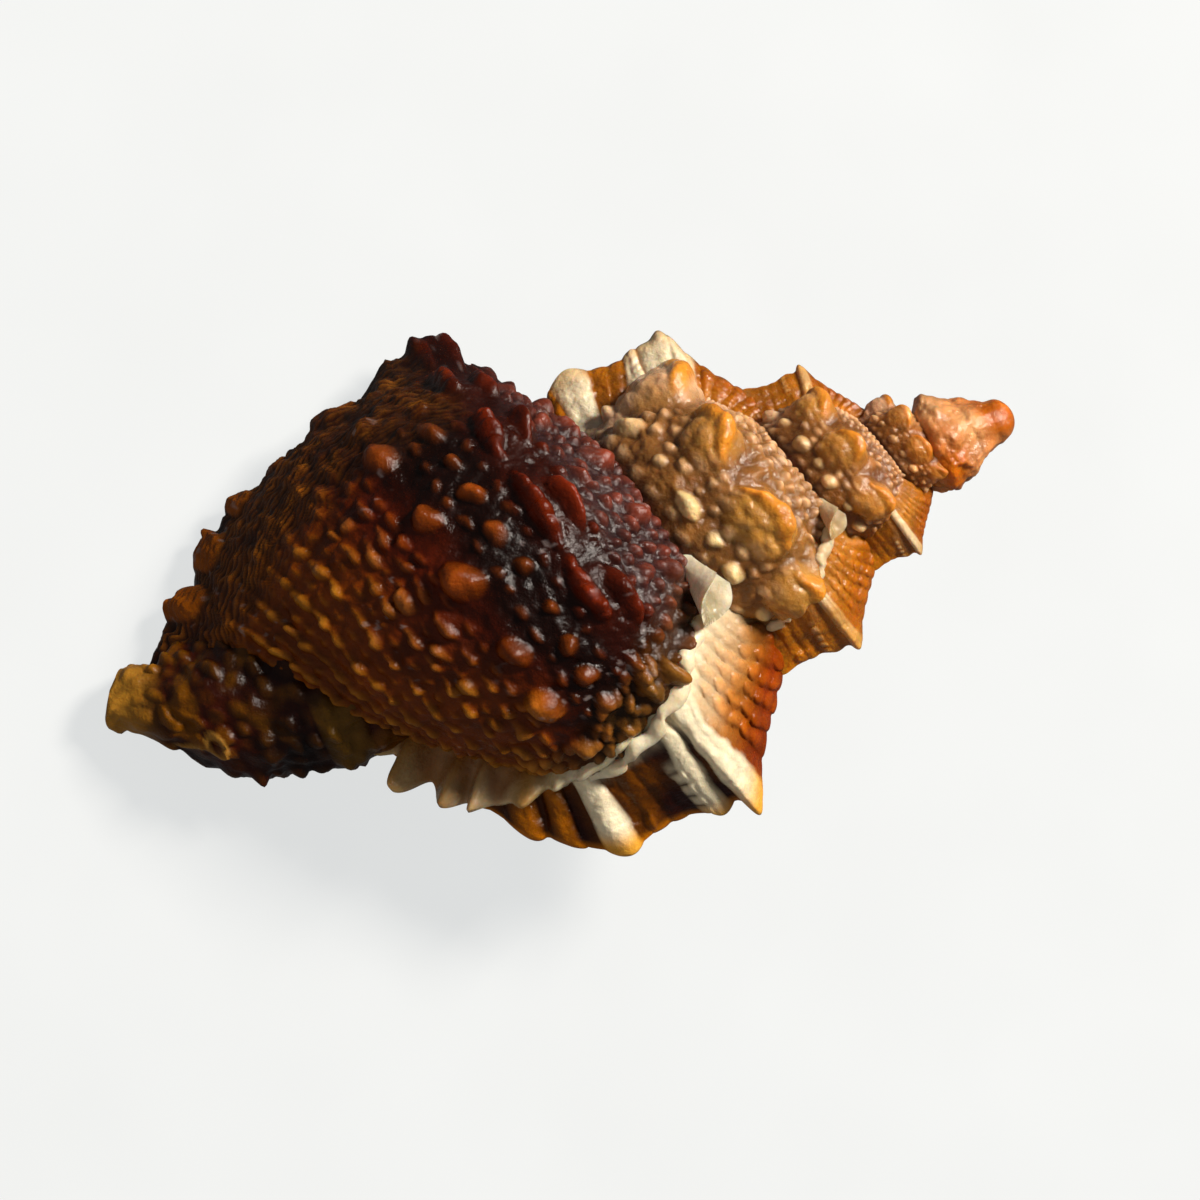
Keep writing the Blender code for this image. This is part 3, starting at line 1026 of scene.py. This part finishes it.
# %% The outline of a fin and its ribs
FIN_CREST = [(22.5, 8.0), (25.0, 12.0), (27.7, 15.6), (29.6, 18.4), (31.5, 21.6), (33.0, 21.3),
             (34.4, 21.6), (37.0, 21.0), (39.2, 21.1), (42.7, 21.8), (44.8, 20.9),
             (47.6, 18.9), (50.0, 17.4), (51.5, 15.2), (54.0, 12.4), (58.0, 7.0)]
FIN_FOOT = [(22.5, 28.2), (25.0, 29.4), (27.5, 30.7), (29.9, 32.2), (31.6, 33.8),
            (34.2, 35.8), (42.7, 43.2), (47.3, 45.8), (50.0, 48.0), (54.0, 52.0), (58.0, 55.5)]
WHITE_RIBS = ((31.5, 1.1, 1.25), (34.2, 1.0, 0.85), (42.7, 1.5, 1.0))
OLD_WHITE_RIBS = ((31.9, 2.5, 1.3), (35.6, 0.9, 0.5), (42.7, 1.9, 0.9))
PLAIN_RIBS = ((37.6, 0.7, 0.25), (39.4, 0.8, 0.3), (46.8, 1.15, 0.8), (49.6, 1.3, 0.8),
              (53.0, 1.1, 0.5))
BEADED_RIBS = (23.8, 24.9, 26.0, 27.1, 28.2, 29.3, 30.4)
BEADED_STEP = 1.1
BEADED_MIDDLE = 27.1
SPINE = 31.5
BACK_REACH = 13.0
COVERED_FROM = 48.0
FIN_ROOT = 1.2
FIN_THICKNESS = 0.45


def ridge(place, at, width):
    return np.maximum(0.0, 1.0 - ((place - at) / width) ** 2) ** 0.8


def fin_ribs(crest, rise, own, broad, worn):
    """Rib height on the fin's faces, and the shares that are white rib and bead."""
    bend = crest + 0.35 * noise(own, 2.4, 31) + 0.15 * noise(own, 0.9, 32)
    bend = bend + 1.1 * (1.0 - rise) ** 1.5 * ridge(crest, 34.0, 2.0)
    white_ribs = OLD_WHITE_RIBS if broad > 1.0 else WHITE_RIBS
    white = tallest(*(height * ridge(bend, at, width * broad)
                      * (1.0 - 0.8 * worn * (at > SPINE + 1.0))
                      for at, width, height in white_ribs))
    plain = tallest(*(height * ridge(bend, at, width) for at, width, height in PLAIN_RIBS))
    rib = np.rint((bend - BEADED_RIBS[0]) / BEADED_STEP)
    step = rise * 8.0 + 4.0 * scatter(rib, 29) + 0.3 * noise(own, 1.3, 30)
    size = (0.35 + 0.7 * scatter(np.floor(step), rib)) * ease(0.15, 0.4, rise)
    beaded = tallest(*(ridge(bend, at, 0.6) for at in BEADED_RIBS))
    middle = 2.0 * (step - np.floor(step) - 0.5)
    off_rib = (bend - BEADED_RIBS[0] - BEADED_STEP * rib) / 0.56
    fan = ridge(crest, BEADED_MIDDLE, 4.0)
    bead = size * np.maximum(0.0, 1.0 - middle ** 2 - off_rib ** 2) ** 0.8 * fan
    blobs = ease(0.25, 0.7, noise(own, 0.9, 38)) * ridge(bend, 38.5, 2.2)
    side_beads = ridge(bend, 35.3, 0.55) * ease(0.35, 0.55, rise)
    side_beads = side_beads * np.abs(np.sin(math.pi * 8.0 * rise)) ** 0.7
    bead = bead * (0.5 if broad > 1.0 else 1.0)
    height = white + plain + 0.7 * beaded + 0.5 * bead + 0.6 * blobs + 0.55 * side_beads
    share = np.clip(white / 0.55 + 0.8 * side_beads, 0, 1)
    return height, share, np.clip(bead + blobs + 0.35 * beaded * fan, 0, 1)


print("a fin has", len(WHITE_RIBS + PLAIN_RIBS + BEADED_RIBS), "ribs")

# %% Paint of the fins
FIN_BROWN = linear("#280c06")
FIN_ORANGE = linear("#a2601c")
FIN_RED = linear("#6a260c")
FIN_RUST = linear("#8e4014")
FIN_BEAD = linear("#c88848")
FIN_TAN = linear("#946834")
RIB_WHITE = linear("#d8ccaf")
RIB_PINK = linear("#cdb490")
RIB_WORN = linear("#b88a52")
TIP_AMBER = linear("#dca04a")
FRONT_POINTS = ((46.8, 1.0), (49.6, 1.1), (53.0, 1.0))


def fin_paint(crest, rise, white, bead, own, older, worn):
    patch = noise(own, 2.2, 33)
    glow = blend(FIN_BEAD, FIN_RUST, ease(0.4, 0.85, rise))
    beaded = paint(FIN_TAN, (FIN_RED, ease(0.3, 0.85, rise + 0.12 * patch)),
                   (glow, bead * (0.8 + 0.3 * patch)))
    edge = tallest(*(ridge(crest, at, width) for at, width in FRONT_POINTS))
    dark = paint(FIN_BROWN, (FIN_ORANGE, 0.08 + 0.3 * patch + 0.35 * bead + 0.5 * older),
                 (FIN_ORANGE, 0.6 * edge + ease(0.9, 1.0, rise)))
    colour = blend(dark, beaded, ease(31.5, 30.0, crest))
    if older:
        colour = blend(colour, FIN_ORANGE, 0.55 + 0.3 * patch)
    tip = (1.0 - 0.65 * older) * ease(0.74, 0.98, rise + 0.08 * patch)
    rib = paint(RIB_WHITE, (RIB_PINK, older * (0.4 + 0.5 * patch)),
                (RIB_WORN, worn * (0.8 + 0.5 * patch)), (TIP_AMBER, tip))
    mottle = lumpy(own, (0.2, 0.7, 34), (0.15, 0.35, 39)) * (1.0 - 0.6 * white)
    return blend(colour, rib, white ** (0.8 + worn)) * (1.0 + mottle)[..., None]


print("the points of the ribs are", np.round(TIP_AMBER, 2))


# %% A fin at a given turn
def fin(number, rows, detail):
    centre = -HALF_TURN * number
    older = 0.0 if number == 1 else 1.0
    last = FIN_CREST[-1][0] if number == 1 else COVERED_FROM
    crest_line, draw = tucked(rows, FIN_CREST[0][0], last)
    back = np.linspace(-1.0, 0.0, int(46 * detail))[:-1]
    front = np.linspace(0.0, 1.0, int(84 * detail))
    crest, side = grid(crest_line, np.concatenate([back, front]))
    rise = 1.0 - np.abs(side)
    foot_station = through(FIN_FOOT, crest)
    foot_along = np.interp(foot_station, STATION, WALKED)
    foot_radius = radius_at(foot_along) - FIN_ROOT
    top_radius = through(FIN_CREST, crest)
    if number > 1:
        sunk = ease(COVERED_FROM - 3.0, COVERED_FROM, crest)
        top_radius = top_radius + (foot_radius - top_radius) * sunk
    lean = through(LAP_EDGE, foot_along) + HALF_TURN + 4.0
    off = np.where(side > 0.0, lean * (1.0 - rise) ** 1.3, -BACK_REACH * (1.0 - rise ** 0.625))
    station = foot_station + (crest - foot_station) * rise
    radius = foot_radius + (top_radius - foot_radius) * rise
    own = grown(station, radius, centre + off) / MM
    worn = 1.0 if number > 2 else 0.0
    ribs, white, bead = fin_ribs(crest, rise, own, 1.0 + 0.1 * older - 0.2 * worn, worn)
    lumps = lumpy(own, (0.3, 1.5, 35), (0.16, 0.6, 36), (0.08, 0.3, 37))
    if older:
        lumps = 1.3 * lumps
    root = ease(0.04, 0.3, rise) if number == 1 else ease(0.0, 0.1, rise)
    relief = (ribs * (1.0 - 0.35 * (side < 0.0)) + lumps) * root
    fold = 0.0
    if number == 1:
        wave = 0.22 + 0.035 * np.sin(2.6 * crest) + 0.02 * np.sin(5.9 * crest)
        fold = np.exp(-((rise - wave) / 0.035) ** 2) * (side > 0.0) * ease(33.5, 31.0, crest)
        relief = relief + 0.8 * fold
    round_off = np.sqrt(np.clip(1.0 - rise ** 8, 0.0, 1.0))
    thick = FIN_THICKNESS + relief * round_off
    off = off + np.sign(side) * np.degrees(thick * round_off / np.maximum(radius, 3.0))
    point = np.exp(-((crest - SPINE - 0.1) / (0.75 + 0.4 * older)) ** 2)
    radius = radius + rise ** 3 * ((0.55 - 0.15 * worn) * ribs + (0.8 - 0.5 * older) * point)
    radius = radius * draw[:, None]
    tint = fin_paint(crest, rise, np.clip(white + fold, 0, 1), bead, own, older, worn)
    pale = ease(0.36 + 0.24 * ease(31.5, 30.0, crest) + 0.1 * noise(own, 1.5, 47), 0.12, rise)
    tint = blend(tint, RIB_WHITE, 0.8 * pale * (side > 0.0) * (1.0 - older))
    material, slot = (worn_aragonite, "spire") if older else (aragonite, "shell_wall")
    sheet(f"fin_{number}", grown(station, radius, centre + off), tint, 0.9, material)


FIN_DETAIL = ((320, 1.0), (220, 0.8), (220, 0.8), (150, 0.6), (130, 0.5))
for number, (rows, detail) in enumerate(FIN_DETAIL, 1):
    fin(number, rows, detail)

# %% [markdown]
# ## The enamel frill
#
# While the snail rested at the first old lip it lined that lip with white enamel. The
# enamel stays in view as a thin rim where the last half whorl starts, narrow beside the
# suture and drawn out into a pleated frill towards the canal.

# %% The frill along the first old lip
FRILL_START = 13.0
FRILL_END = 37.5
FRILL_WIDTH = [(13.0, 0.5), (18.0, 0.9), (21.0, 1.5), (24.0, 3.2), (27.0, 4.7), (31.0, 5.3),
               (33.5, 4.6), (35.5, 2.8), (37.5, 0.8)]
PLEAT = 2.9
FRILL_OLIVE = linear("#a07c4a")
FRILL_AMBER = linear("#7a4a1e")


def frill():
    out = np.concatenate([np.linspace(0.0, 1.0, 30), np.linspace(1.0, 0.0, 30)[1:]])
    face = np.concatenate([np.ones(30), -np.ones(29)])
    along, share = grid(np.linspace(FRILL_START, FRILL_END, 300), out)
    wide = through(FRILL_WIDTH, along)
    pleat = np.sin(2.0 * math.pi * wavering(along) / PLEAT)
    ragged = 0.88 + 0.13 * pleat + 0.07 * np.sin(2.7 * along + 1.0)
    reach = wide * share * ragged - 1.4 * (1.0 - share)
    own = own_places(np.full(along.shape, -HALF_TURN), along)
    ends = ease(FRILL_START, 14.0, along) * ease(FRILL_END, 36.8, along)
    thick = 0.42 * ends * np.sqrt(np.clip((1.0 - share ** 6) * share * 4.0, 0.0, 1.0))
    sway = pleat * share * (0.14 + 0.11 * wide) + 0.12 * noise(own, 1.6, 41)
    lean = 1.2 - 0.12 * wide * share + sway + face * thick
    radius = radius_at(along)
    angle = through(LAP_EDGE, along) - 1.0 + 3.0 * ease(18.0, 24.0, along)
    angle = angle + np.degrees(lean / np.maximum(radius, 3.0))
    broad = ease(1.3, 2.6, wide)
    # The olive share is partly the enamel's own translucent tone where the frill is broad and
    # partly painted pleat shade and highlight: one side of each pleat is painted darker and the
    # other creamier.
    clear = broad * (0.6 + 0.4 * pleat + 0.3 * noise(own, 0.8, 43))
    root = ease(1.05, 0.5, share + 0.2 * noise(own, 1.1, 46) + 0.25 * pleat)
    colour = paint(WHITE, (CREAM, 0.4 + 0.5 * noise(own, 2.0, 42)), (FRILL_OLIVE, 0.9 * clear),
                   (FRILL_AMBER, 0.85 * broad * root))
    sheet("enamel_frill", whorl(angle, along, reach), colour, 0.8, enamel)


frill()

# %% A rim at every lip
RIM_BACK = 2.2
RIM_WAVES = 3.0


def rim(name, rows, radius, lift, grain=0.0, turned=0.0):
    """A wavy rounded cord of enamel beside the edge where a half whorl starts."""
    along, turn = grid(rows, np.linspace(0.0, 2.0 * math.pi, 29))
    inner = (along - rows[0]) / (rows[-1] - rows[0])
    own = own_places(lap_edge(along), along)
    wave = 0.4 * np.sin(1.7 * along + RIM_WAVES) + 0.12 * np.sin(4.1 * along + RIM_WAVES)
    size = radius * (1.0 + 0.2 * np.sin(2.6 * along + RIM_WAVES) + 0.15 * noise(own, 1.2, 3))
    size = size * (1.0 + grain * noise(own, 0.6, 8))
    size = size * np.sqrt(np.clip(1.0 - (2.0 * inner - 1.0) ** 8, 0.0, 1.0))
    at = along + wave * 0.6
    height = lift + size * np.sin(turn)
    aside = (0.5 * wave + 1.25 * size * np.cos(turn)) / mm_per_degree(along)
    angle = through(LAP_EDGE, along) - RIM_BACK + aside + turned
    colour = paint(WHITE, (CREAM, 0.35 + 0.5 * noise(own, 1.3, 44)),
                   (FRILL_OLIVE, grain * (1.0 + noise(own, 0.9, 45))))
    sheet(name, whorl(angle, at, height), colour, 0.9, enamel)


rim("enamel_rim", np.linspace(3.0, 26.0, 240), 0.62, 0.4)
for lip in (2, 3, 4):
    rim(f"enamel_rim_{lip}", np.linspace(2.0, 18.5, 150), 0.75, 0.5, 0.45,
        HALF_TURN * (1 - lip))

# %% [markdown]
# ## The spouts
#
# At the end of each lip beside the suture the snail leaves a small spout, open to one
# side, for waste water. It is enamel as well, so it is white, with painted grey-olive shade in its
# hollow.

# %% The spout of a given fin
SPOUT_START = (27.0, 8.0, -107.0)
SPOUT_END = (26.7, 13.5, -122.5)
SPOUT_WRAP = 146.0
SPOUT_HOLLOW_SHADE = linear("#857a5c")


def on_own(station, radius, angle):
    size = growth(angle)
    turn = math.radians(angle)
    return np.array([-station * size, radius * size * math.cos(turn),
                     -radius * size * math.sin(turn) * FLATTENING])


def spout(number):
    back = -HALF_TURN * (number - 1)
    start, end = (on_own(station, radius, angle + back)
                  for station, radius, angle in (SPOUT_START, SPOUT_END))
    scale = growth(-HALF_TURN * number)
    length = np.linalg.norm(end - start)
    way = (end - start) / length
    turn = math.radians(-HALF_TURN * number + 50.0)
    outward = np.array([1.0, 0.1 * math.cos(turn), -0.7 * math.sin(turn)])
    open_side = outward - way * outward.dot(way)
    open_side /= np.linalg.norm(open_side)
    across = np.cross(way, open_side)
    around = np.concatenate([np.linspace(-1.0, 1.0, 60), np.linspace(1.0, -1.0, 60)[1:]])
    inner = np.concatenate([np.zeros(60), np.ones(59)])
    t, swing = grid(np.linspace(-0.15, 1.0, 44), around)
    arc = np.radians(SPOUT_WRAP) * swing
    wide = scale * (0.8 + 1.0 * np.clip(t, 0.0, 1.0) ** 1.4 + 0.06 * np.sin(5.0 * swing + 3.0 * t))
    thin = (1.0 - swing ** 8) * (1.0 - np.clip(t, 0.0, 1.0) ** 8) * np.clip(4.0 * t + 0.6, 0, 1)
    wall = scale * 0.8 * np.sqrt(np.clip(thin, 0.0, 1.0))
    radius = wide - wall * inner
    flare = 1.0 + 0.08 * np.abs(swing) ** 3 * t
    rounded = 1.0 - 0.35 * np.abs(swing) ** 2.5
    uneven_rim = 0.3 * np.sin(3.0 * swing) + 0.22 * np.sin(7.0 * swing + 1.0)
    drawn = t * rounded * length + scale * uneven_rim * t
    points = (start + drawn[..., None] * way
              - (radius * flare * np.cos(arc))[..., None] * open_side
              + (radius * flare * np.sin(arc))[..., None] * across)
    # Painted shade: the inside of the trough is painted grey-olive, deepest along its middle.
    depth = inner * ease(0.9, 0.3, np.abs(swing))
    stain = np.full(t.shape, 0.5 if number > 1 else 0.0)
    colour = paint(WHITE, (SPOUT_HOLLOW_SHADE, 0.85 * depth), (FRILL_OLIVE, stain))
    sheet(f"spout_{number}", on_table(points), colour, 0.8, enamel)


for number in (1, 2, 3):
    spout(number)

# %% [markdown]
# ## The lining of the aperture
#
# The inside is enamel that the snail smoothed with its own foot. At the lip it thickens to
# a row of teeth, two to each lobe, that run on inwards as fading ridges. It could be
# carved into the wall's inner side, but as a piece of its own it takes a finer grid and
# the whiter finish.

# %% The lining and its teeth
LINING_MOUTH = 12.4
LINING_DEPTH = -150.0
TOOTH_SPACING = LOBE_SPACING / 2.0
TOOTH_WHITE = linear("#f4ecdc")
TOOTH_GAP = linear("#b47a48")
LINING_CREAM = linear("#e6d8bc")


def lining():
    rows = np.linspace(2.2, 36.5, 330)
    mouth = LINING_MOUTH - 60.0 * np.linspace(0.0, 1.0, 70) ** 1.5
    deep = np.linspace(mouth[-1], LINING_DEPTH, 16)[1:]
    seen = np.concatenate([mouth, deep])
    hidden = np.linspace(LINING_DEPTH, LINING_MOUTH, 24)
    along, angle = grid(rows, np.concatenate([seen, hidden]))
    own = own_places(angle, along)
    bend = wavering(along) + 0.12 * noise(own, 2.0, 91)
    tooth = np.abs(np.cos(math.pi * (bend - SHOULDER) / TOOTH_SPACING)) ** 1.4
    inward = ease(LINING_MOUTH, LINING_MOUTH - 3.5, angle)
    fading = (0.25 + 0.75 * ease(-6.0, 5.0, angle)) * ease(-42.0, -20.0, angle)
    size = 0.75 + 0.4 * scatter(np.rint(bend / TOOTH_SPACING), 92)
    teeth = 1.15 * tooth * size * inward * fading
    ends = ease(rows[0], rows[0] + 1.2, along) * ease(rows[-1], rows[-1] - 1.2, along)
    layer = 0.05 + 0.4 * inward + 0.08 * noise(own, 1.8, 93)
    wall_height = wall_inside(angle)
    height = wall_height - (layer + teeth) * ends
    height[:, len(seen):] = wall_height[:, len(seen):] + 0.3
    height[:, -1] = height[:, 0]
    tint = paint(TOOTH_GAP, (LINING_CREAM, ease(4.0, -25.0, angle)),
                 (LINING_CREAM, 0.4 + 0.5 * noise(own, 2.4, 94)),
                 (TOOTH_WHITE, 1.1 * tooth * fading))
    tint = tint * (1.0 + 0.1 * noise(own, 0.8, 95))[..., None]
    sheet("aperture_lining", whorl(angle, along, height), tint, 0.75, enamel)


lining()

# %% [markdown]
# ## The callus
#
# On the inner side of the aperture the snail glazes the whorl before with enamel, and its
# old beads still show through as soft bumps. The glaze wrinkles across the columella and
# thins out to a wavy edge on the belly.

# %% The callus on the whorl before
CALLUS_START = -424.0
CALLUS_FIRST_ALONG = 21.8


def callus():
    rows = np.linspace(CALLUS_FIRST_ALONG, 37.0, 190)
    share = np.linspace(0.0, 1.0, 150)
    along, part = grid(rows, np.concatenate([share, share[::-6]]))
    edge = callus_edge(along)
    angle = CALLUS_START + (edge - CALLUS_START) * part
    own = own_places(angle, along)
    bend = along + 0.4 * noise(own, 1.6, 96)
    wrinkle = np.abs(np.sin(math.pi * bend / FOLD_STEP)) ** 0.8
    wrinkle = wrinkle * (0.6 + 0.4 * noise(own, 1.4, 97)) * ease(0.0, -9.0, angle - edge)
    relief, bead = body_relief(angle, along, own, lap_edge(along) - HALF_TURN)
    height = CALLUS_COAT + (1.0 - CALLUS_SMOOTHING) * relief + 0.5 * wrinkle
    thin = ease(1.0, 0.94, part) * ease(rows[0], rows[0] + 0.8, along)
    thin = thin * ease(rows[-1], rows[-1] - 0.8, along)
    height = -0.45 + (height + 0.45) * thin ** 0.5
    height[:, len(share):] = -0.9
    tint = paint(TOOTH_WHITE, (LINING_CREAM, 0.4 + 0.6 * noise(own, 2.6, 98)),
                 (TOOTH_GAP, 0.35 * ease(0.5, 0.1, wrinkle)),
                 (MIDDLE_BEAD, 0.55 * ease(0.8, 1.0, part) + 0.2 * bead * part))
    sheet("parietal_callus", whorl(angle, along, height), tint, 0.7, enamel)


callus()

# %% [markdown]
# ## Table, light and camera
#
# The shell lies on a plain pale table that glows a little, as a light table does, so the
# shell's shadow stays soft. The table is hidden from reflections and bounced light, as if
# black card stood round the shell: dark shell keeps its deep colour. A soft lamp to the
# upper right gives each knob a highlight, and a weak wide one lower left opens the
# shadows without a reflection of its own. Only the camera sees the pale backdrop. It looks
# down on the back of the shell.

# %% The table
def matte_white():
    material = bpy.data.materials.new("pale_table")
    material.use_nodes = True
    tree = material.node_tree
    place = add(tree, "ShaderNodeTexCoord").outputs["Object"]
    speck = add(tree, "ShaderNodeTexNoise", {"Scale": 60.0, "Detail": 2.0}, {"Vector": place})
    tone = add(tree, "ShaderNodeMix", {"data_type": "RGBA", 6: (*linear("#616262"), 1.0),
                                       7: (*linear("#646565"), 1.0)}, {0: speck.outputs["Fac"]})
    shader = tree.nodes["Principled BSDF"]
    for socket in ("Base Color", "Emission Color"):
        tree.links.new(tone.outputs[2], shader.inputs[socket])
    shader.inputs["Emission Strength"].default_value = 5.6
    shader.inputs["Roughness"].default_value = 0.9
    return material


bpy.ops.object.select_all(action="DESELECT")
bpy.ops.mesh.primitive_plane_add(size=3.0)
table = bpy.context.object
table.name = "table"
table.data.materials.append(matte_white())
table.visible_glossy = False
table.visible_diffuse = False
print("the table is", round(table.dimensions.x, 1), "m wide")

# %% Camera
bpy.context.scene.view_settings.view_transform = "Standard"
VIEW_ROLL = 10.0
VIEW_PITCH = 1.0
AXIS_TILT = 21.25
LENS = 85.0
FRAME_WIDTH = 75.25
AIM = Vector((-29.0, -1.97, 2.88))


def view_axes():
    """The camera's right, up and backward axes, from the shell's own frame."""
    roll, pitch = math.radians(VIEW_ROLL), math.radians(VIEW_PITCH)
    back = Vector((-math.sin(pitch), -math.sin(roll) * math.cos(pitch),
                   math.cos(roll) * math.cos(pitch)))
    tilt = math.radians(AXIS_TILT)
    up = Vector((math.sin(tilt), math.cos(tilt), 0.0))
    up = (up - back * up.dot(back)).normalized()
    right = up.cross(back)
    turn = REST.to_3x3()
    return turn @ right, turn @ up, turn @ back


right, up, back = view_axes()
aim = REST @ AIM * MM
camera_data = bpy.data.cameras.new("camera")
camera_data.lens = LENS
camera_data.clip_start = 0.01
distance = FRAME_WIDTH * MM * LENS / camera_data.sensor_width
camera = bpy.data.objects.new("camera", camera_data)
camera.matrix_world = Matrix.Translation(aim + back * distance) @ Matrix(
    (right, up, back)).transposed().to_4x4()
bpy.context.scene.collection.objects.link(camera)
bpy.context.scene.camera = camera
print("the camera looks down at", round(math.degrees(math.asin(back.z)), 1), "degrees")

# %% Lamps and room
WARM_WHITE = (1.0, 0.93, 0.84)
ROOM_LIGHT = 0.11
BACKDROP = 0.9


def softbox(name, direction, size, power, reach=0.8):
    """A square area lamp that faces the shell from a direction in the camera's axes."""
    lamp = bpy.data.lights.new(name, "AREA")
    lamp.size = size
    lamp.energy = power
    lamp.color = WARM_WHITE
    way = (right * direction[0] + up * direction[1] + back * direction[2]).normalized()
    thing = bpy.data.objects.new(name, lamp)
    thing.location = aim + way * reach
    thing.rotation_mode = "QUATERNION"
    thing.rotation_quaternion = (-way).to_track_quat("-Z", "Y")
    bpy.context.scene.collection.objects.link(thing)
    return thing


softbox("key_light", (0.9, 0.62, 0.75), 0.2, 12.5)
softbox("fill_light", (-0.6, -0.7, 0.9), 0.9, 1.6).visible_glossy = False
world = bpy.data.worlds.new("soft_room")
bpy.context.scene.world = world
world.use_nodes = True
room = world.node_tree.nodes["Background"]
room.inputs["Color"].default_value = (1.0, 1.0, 1.0, 1.0)
seen = add(world.node_tree, "ShaderNodeLightPath").outputs["Is Camera Ray"]
level = add(world.node_tree, "ShaderNodeMapRange", {"To Min": ROOM_LIGHT, "To Max": BACKDROP},
            {"Value": seen})
world.node_tree.links.new(level.outputs["Result"], room.inputs["Strength"])
print("lamps:", [lamp.name for lamp in bpy.data.lights])
